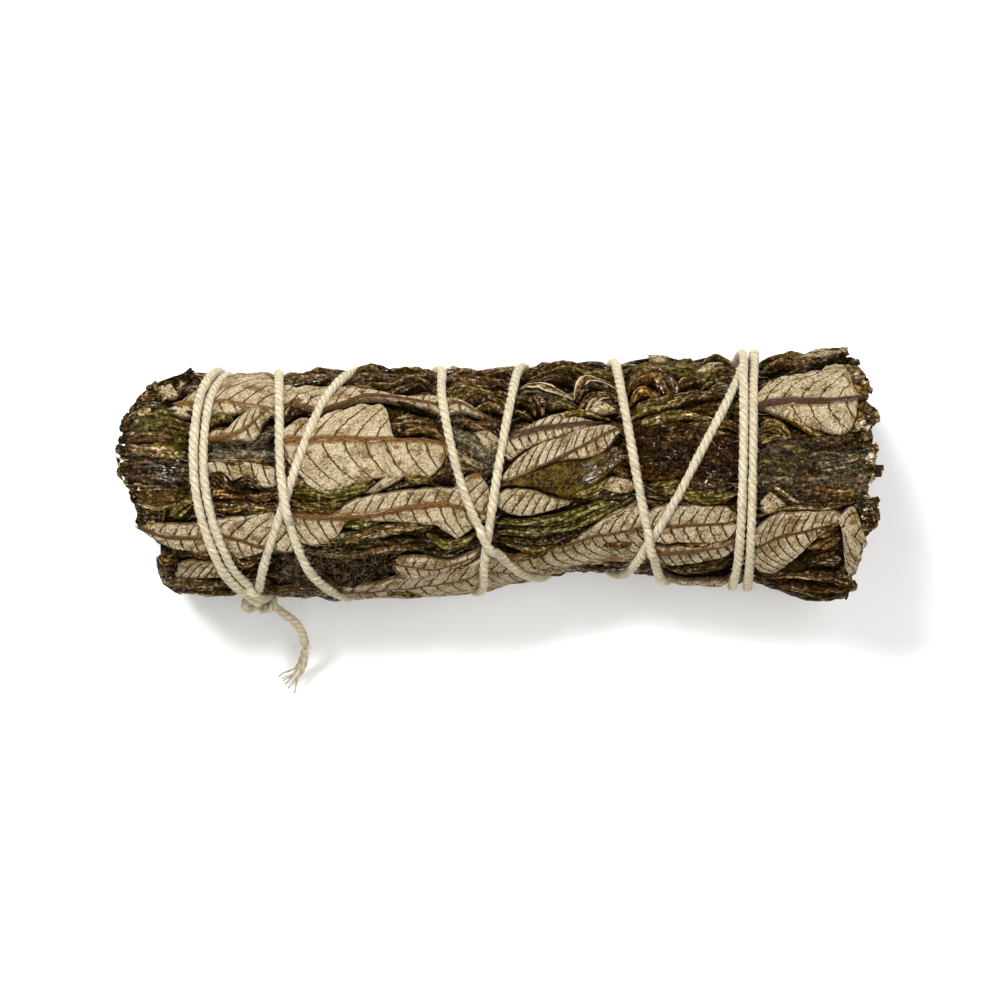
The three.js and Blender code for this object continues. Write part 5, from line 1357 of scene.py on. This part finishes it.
def twisted_cord(lofts, points, outward, radius=TWINE_RADIUS, taper=0.0, plies=3):
    """Carry a lobed section along the points, turning it as it goes so that each lobe is
    a ply. Its radius dips between the plies and varies a little along the cord."""
    tangent = unit(np.gradient(points, axis=0))
    normal = unit(outward - (outward * tangent).sum(-1, keepdims=True) * tangent)
    across = np.cross(tangent, normal)
    step = np.linalg.norm(np.diff(points, axis=0), axis=-1)
    along = np.concatenate([[0], np.cumsum(step)])[:, None]
    base = whole_turn(TWINE_AROUND)
    turn = base + 2 * np.pi * along / PLY_TWIST
    lobe = np.abs(np.cos(plies / 2 * base)) ** 0.6
    uneven = 1 + 0.07 * crinkle(along / 2.2, 0 * base, 3)
    size = radius * (0.71 + 0.33 * lobe) * uneven * (1 - taper * along / along[-1])
    ring = (points[:, None] + size[..., None] * (np.cos(turn)[..., None] * across[:, None]
            + np.sin(turn)[..., None] * normal[:, None]))
    ring[..., 2] = np.maximum(ring[..., 2], FLOOR_CLEARANCE)
    # lobe, the section's bulge, also sets the painted shade in the grooves between the plies.
    lofts.add(ring[:, ::-1], lobe=(lobe + 0 * along)[:, ::-1],
              ply=np.stack([along + 0 * base, plies * base / (2 * np.pi) + 0 * along], -1)[:, ::-1])


def cotton_material():
    """Undyed cotton: cream plies of fine slanting fibres, with painted shade in the grooves between them.
    """
    material, dye = new_material("cotton_twine")
    along, around, _ = dye.uv("ply").split()
    lobe = dye.attribute("lobe")
    fibre = dye.noise(dye.joined(along * 0.7, around * 3.0), 2.2, 4.0, 0.75)
    cloud = dye.noise(dye.joined(along * 0.12, around * 0.3), 1.0, 2.0)
    colour = fibre.rising(0.34, 0.64).mixed((0.42, 0.335, 0.20), (0.94, 0.85, 0.63))
    colour = (cloud.rising(0.4, 0.7) * 0.22).mixed(colour, (0.56, 0.45, 0.28))
    # Painted shade: darker in the grooves between the plies, where lobe is low.
    colour = ((1 - lobe.rising(0.10, 0.78)) * 0.9).mixed(colour, (0.25, 0.175, 0.088))
    finish_material(dye, colour, 0.95, fibre + lobe * 0.3, 0.40, specular=0.03)
    return material


cotton = cotton_material()
degrees = np.linspace(TWINE_ROUTE[0, 0], TWINE_ROUTE[-1, 0], TWINE_STEPS)
points, outward = twine_points(degrees)
twine = Lofts()
twisted_cord(twine, points, outward)
# The knot is a closed trefoil, a sum of one and two turns with three turns across.
knot_centre = on_roll(np.array(KNOT_PLACE), np.radians(KNOT_DEGREES), np.array(KNOT_HEIGHT))
loop = np.linspace(0, 2 * np.pi, KNOT_STEPS)[:-1, None]
knot = knot_centre + np.concatenate([
    1.15 * np.sin(loop) + 1.0 * np.sin(2 * loop), 0.75 * np.sin(3 * loop),
    1.15 * np.cos(loop) - 1.0 * np.cos(2 * loop)], axis=1)
knot_out = unit(knot - knot_centre + (0, 0.2, 0))
twisted_cord(twine, knot, knot_out)
tail = smooth_path(TWINE_TAIL, TAIL_STEPS)
tail_out = np.broadcast_to(np.array([0.9, 0.2, 0.3]), tail.shape)
whole = int(TAIL_STEPS * TAIL_WHOLE)
twisted_cord(twine, tail[:whole], tail_out[:whole])

# The tail's end has come untwisted: its plies spread out, with loose fibres between.
draw = np.random.default_rng(41)
frayed = slice(whole - FRAY_OVERLAP, None)
share = np.linspace(0, 1, len(tail[frayed]))[:, None]
tangent = unit(np.gradient(tail, axis=0))[frayed]
sideways = unit(np.cross(tangent, (0, 0.3, 1)))
upward = unit(np.cross(sideways, tangent))
for spread, rise in FRAYED:
    strand = tail[frayed] + sideways * spread * share**1.6 + upward * rise * share * 0.6
    strand = strand + sideways * 0.45 * share * crinkle(share * 3 + 7 * spread, 0 * share, 2)
    strand = strand + upward * 0.35 * share * crinkle(share * 3 + 9 * spread, 0 * share + 5, 2)
    twisted_cord(twine, strand, upward, radius=FRAYED_RADIUS, taper=FRAYED_TAPER, plies=2)
twine_piece = twine.piece("cotton_twine", cotton, "cotton_twine", floats=("lobe",), uvs=("ply",))
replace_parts(twine_piece, "binding_twine")

# Loose cotton fibres: fine hairs that stand off the twine, most along its run, and thick
# on the knot and the frayed end of the tail.
FIBRE_WIDTH = 0.026
# Parts of the twine: centres, ways out from them and number of hairs.
FIBRES = [(points, outward, 12000), (knot, knot_out, 700), (tail, tail_out, 500),
          (tail[whole:], tail_out[whole:], 700)]


def hairs(draw, roots, lean, long, wide, steps=3):
    """Points and faces of fine hairs: ribbons that start at the roots, lean out and bend
    by the square of the way along them."""
    bend = draw.normal(0, 0.5, roots.shape)
    u = np.linspace(0, 1, steps)[None, :, None]
    spine = roots[:, None] + long[:, None] * (u * unit(lean)[:, None] + u**2 * bend[:, None])
    flat = unit(np.cross(lean, draw.normal(0, 1, roots.shape)))[:, None] * wide / 2 * (1 - 0.7 * u)
    hair_points = np.stack([spine - flat, spine + flat], 2).reshape(-1, 3)
    hair_points[:, 2] = np.clip(hair_points[:, 2], FLOOR_CLEARANCE, CEILING)
    first = np.arange(len(roots))[:, None] * steps * 2 + np.arange(steps - 1)[None, :] * 2
    faces = np.stack([first, first + 1, first + 3, first + 2], -1).reshape(-1, 4)
    return hair_points, faces.tolist()


roots, leans = [], []
for centres, outs, many in FIBRES:
    start = draw.integers(3, len(centres) - 3, many)
    forward = unit(centres[start + 3] - centres[start - 3])
    spin = draw.uniform(-0.4, np.pi + 0.4, many)[:, None]
    away = np.cos(spin) * np.cross(forward, outs[start]) + np.sin(spin) * outs[start]
    roots.append(centres[start] + away * TWINE_RADIUS * 0.85)
    leans.append(draw.normal(0, 1.2, (many, 1)) * forward + away * draw.uniform(0.3, 1.2, (many, 1)))
roots, leans = np.concatenate(roots), np.concatenate(leans)
long = 0.25 + 0.75 * draw.uniform(0, 1, (len(roots), 1)) ** 2
hair_points, hair_faces = hairs(draw, roots, leans, long, FIBRE_WIDTH)
count = len(hair_points)
# The hairs take lobe 1, so they get none of the painted shade of the ply grooves.
make_piece("cotton_fibres", hair_points, hair_faces, cotton,
           {"lobe": np.ones(count)}, {"ply": np.zeros((count, 2))})

# Leaf wool: a grey down of fine curled plant hairs, rubbed off the leaves' woolly sides,
# that clings to some of the dark leaves.
WOOL_WIDTH = 0.030
# Patches seen from above: start, end, lowest and highest place, and number of hairs.
WOOL_PATCHES = [
    (-38, -28, 1.5, 5.0, 450), (-29.5, -13, -14.8, -9.0, 800), (34, 48.5, -3.3, 5.3, 650),
    (-7.2, -0.5, 1.0, 8.4, 500), (-50, -44, -4, 9, 300), (20, 33, -2, 5, 200),
    (-46, -40, -14, -9, 200),
]


def wool_material():
    """Grey-brown down, lighter and darker from hair to hair."""
    material, dye = new_material("leaf_wool")
    cloud = dye.noise(dye.place(), 900.0, 2.0)
    colour = cloud.rising(0.35, 0.65).mixed((0.050, 0.038, 0.022), (0.27, 0.225, 0.16))
    finish_material(dye, colour, 0.95, cloud, 0.02, specular=0.03)
    return material


spots = np.concatenate([
    np.stack([draw.uniform(low, high, many), draw.uniform(least, most, many)], -1)
    for low, high, least, most, many in WOOL_PATCHES])
radius = roll_shape(spots[:, 0])[0]
angle = arc_at(spots[:, 0], spots[:, 1]) / radius
height = pressed(spots[:, 0], angle) + draw.uniform(-0.2, 0.75, len(spots))
roots = on_roll(spots[:, 0], angle, height)
up = np.stack([0 * angle, np.sin(angle), np.cos(angle)], -1)
lean = draw.normal(0, 1, roots.shape) * (1.4, 1, 0.3) + 0.15 * up
long = draw.uniform(0.3, 1.3, (len(roots), 1))
wool_points, wool_faces = hairs(draw, roots, lean, long, WOOL_WIDTH)
make_piece("leaf_wool", wool_points, wool_faces, wool_material())

# The surface that the bunch lies on, and the light: a plain pale sheet under a large soft
# light, with a weaker one from the right.
FLOOR_SIDE = 4
SKY_COLOUR, SKY_STRENGTH = (1, 0.99, 0.97, 1), 0.40
bpy.ops.mesh.primitive_plane_add(size=FLOOR_SIDE)
floor = bpy.context.object
floor.name = "floor"
floor_material, dye = new_material("floor")
paper = dye.noise(dye.place(), 40.0, 3.0)
finish_material(dye, paper.rising(0.2, 0.8).mixed((0.955, 0.955, 0.95), (0.965, 0.965, 0.96)),
                0.9, paper, 0.02, specular=0.1)
floor.data.materials.append(floor_material)

# Name, place and size in metres, and power of each lamp.
LAMPS = [
    ("key_light", (-0.28, 0.40, 0.80), 0.35, 24.0), ("fill_light", (0.45, -0.2, 1.0), 0.9, 10.0),
]
for name, place, size, power in LAMPS:
    lamp = bpy.data.objects.new(name, bpy.data.lights.new(name, "AREA"))
    lamp.data.size = size
    lamp.data.energy = power
    lamp.location = place
    direction = -np.array(place) / np.linalg.norm(place)
    lamp.rotation_euler = (np.arccos(-direction[2]), 0, np.arctan2(direction[0], -direction[1]))
    bpy.context.scene.collection.objects.link(lamp)
world = bpy.data.worlds.new("sky")
world.use_nodes = True
backdrop = world.node_tree.nodes["Background"]
backdrop.inputs["Color"].default_value = SKY_COLOUR
backdrop.inputs["Strength"].default_value = SKY_STRENGTH
bpy.context.scene.world = world
bpy.context.scene.view_settings.view_transform = "Standard"
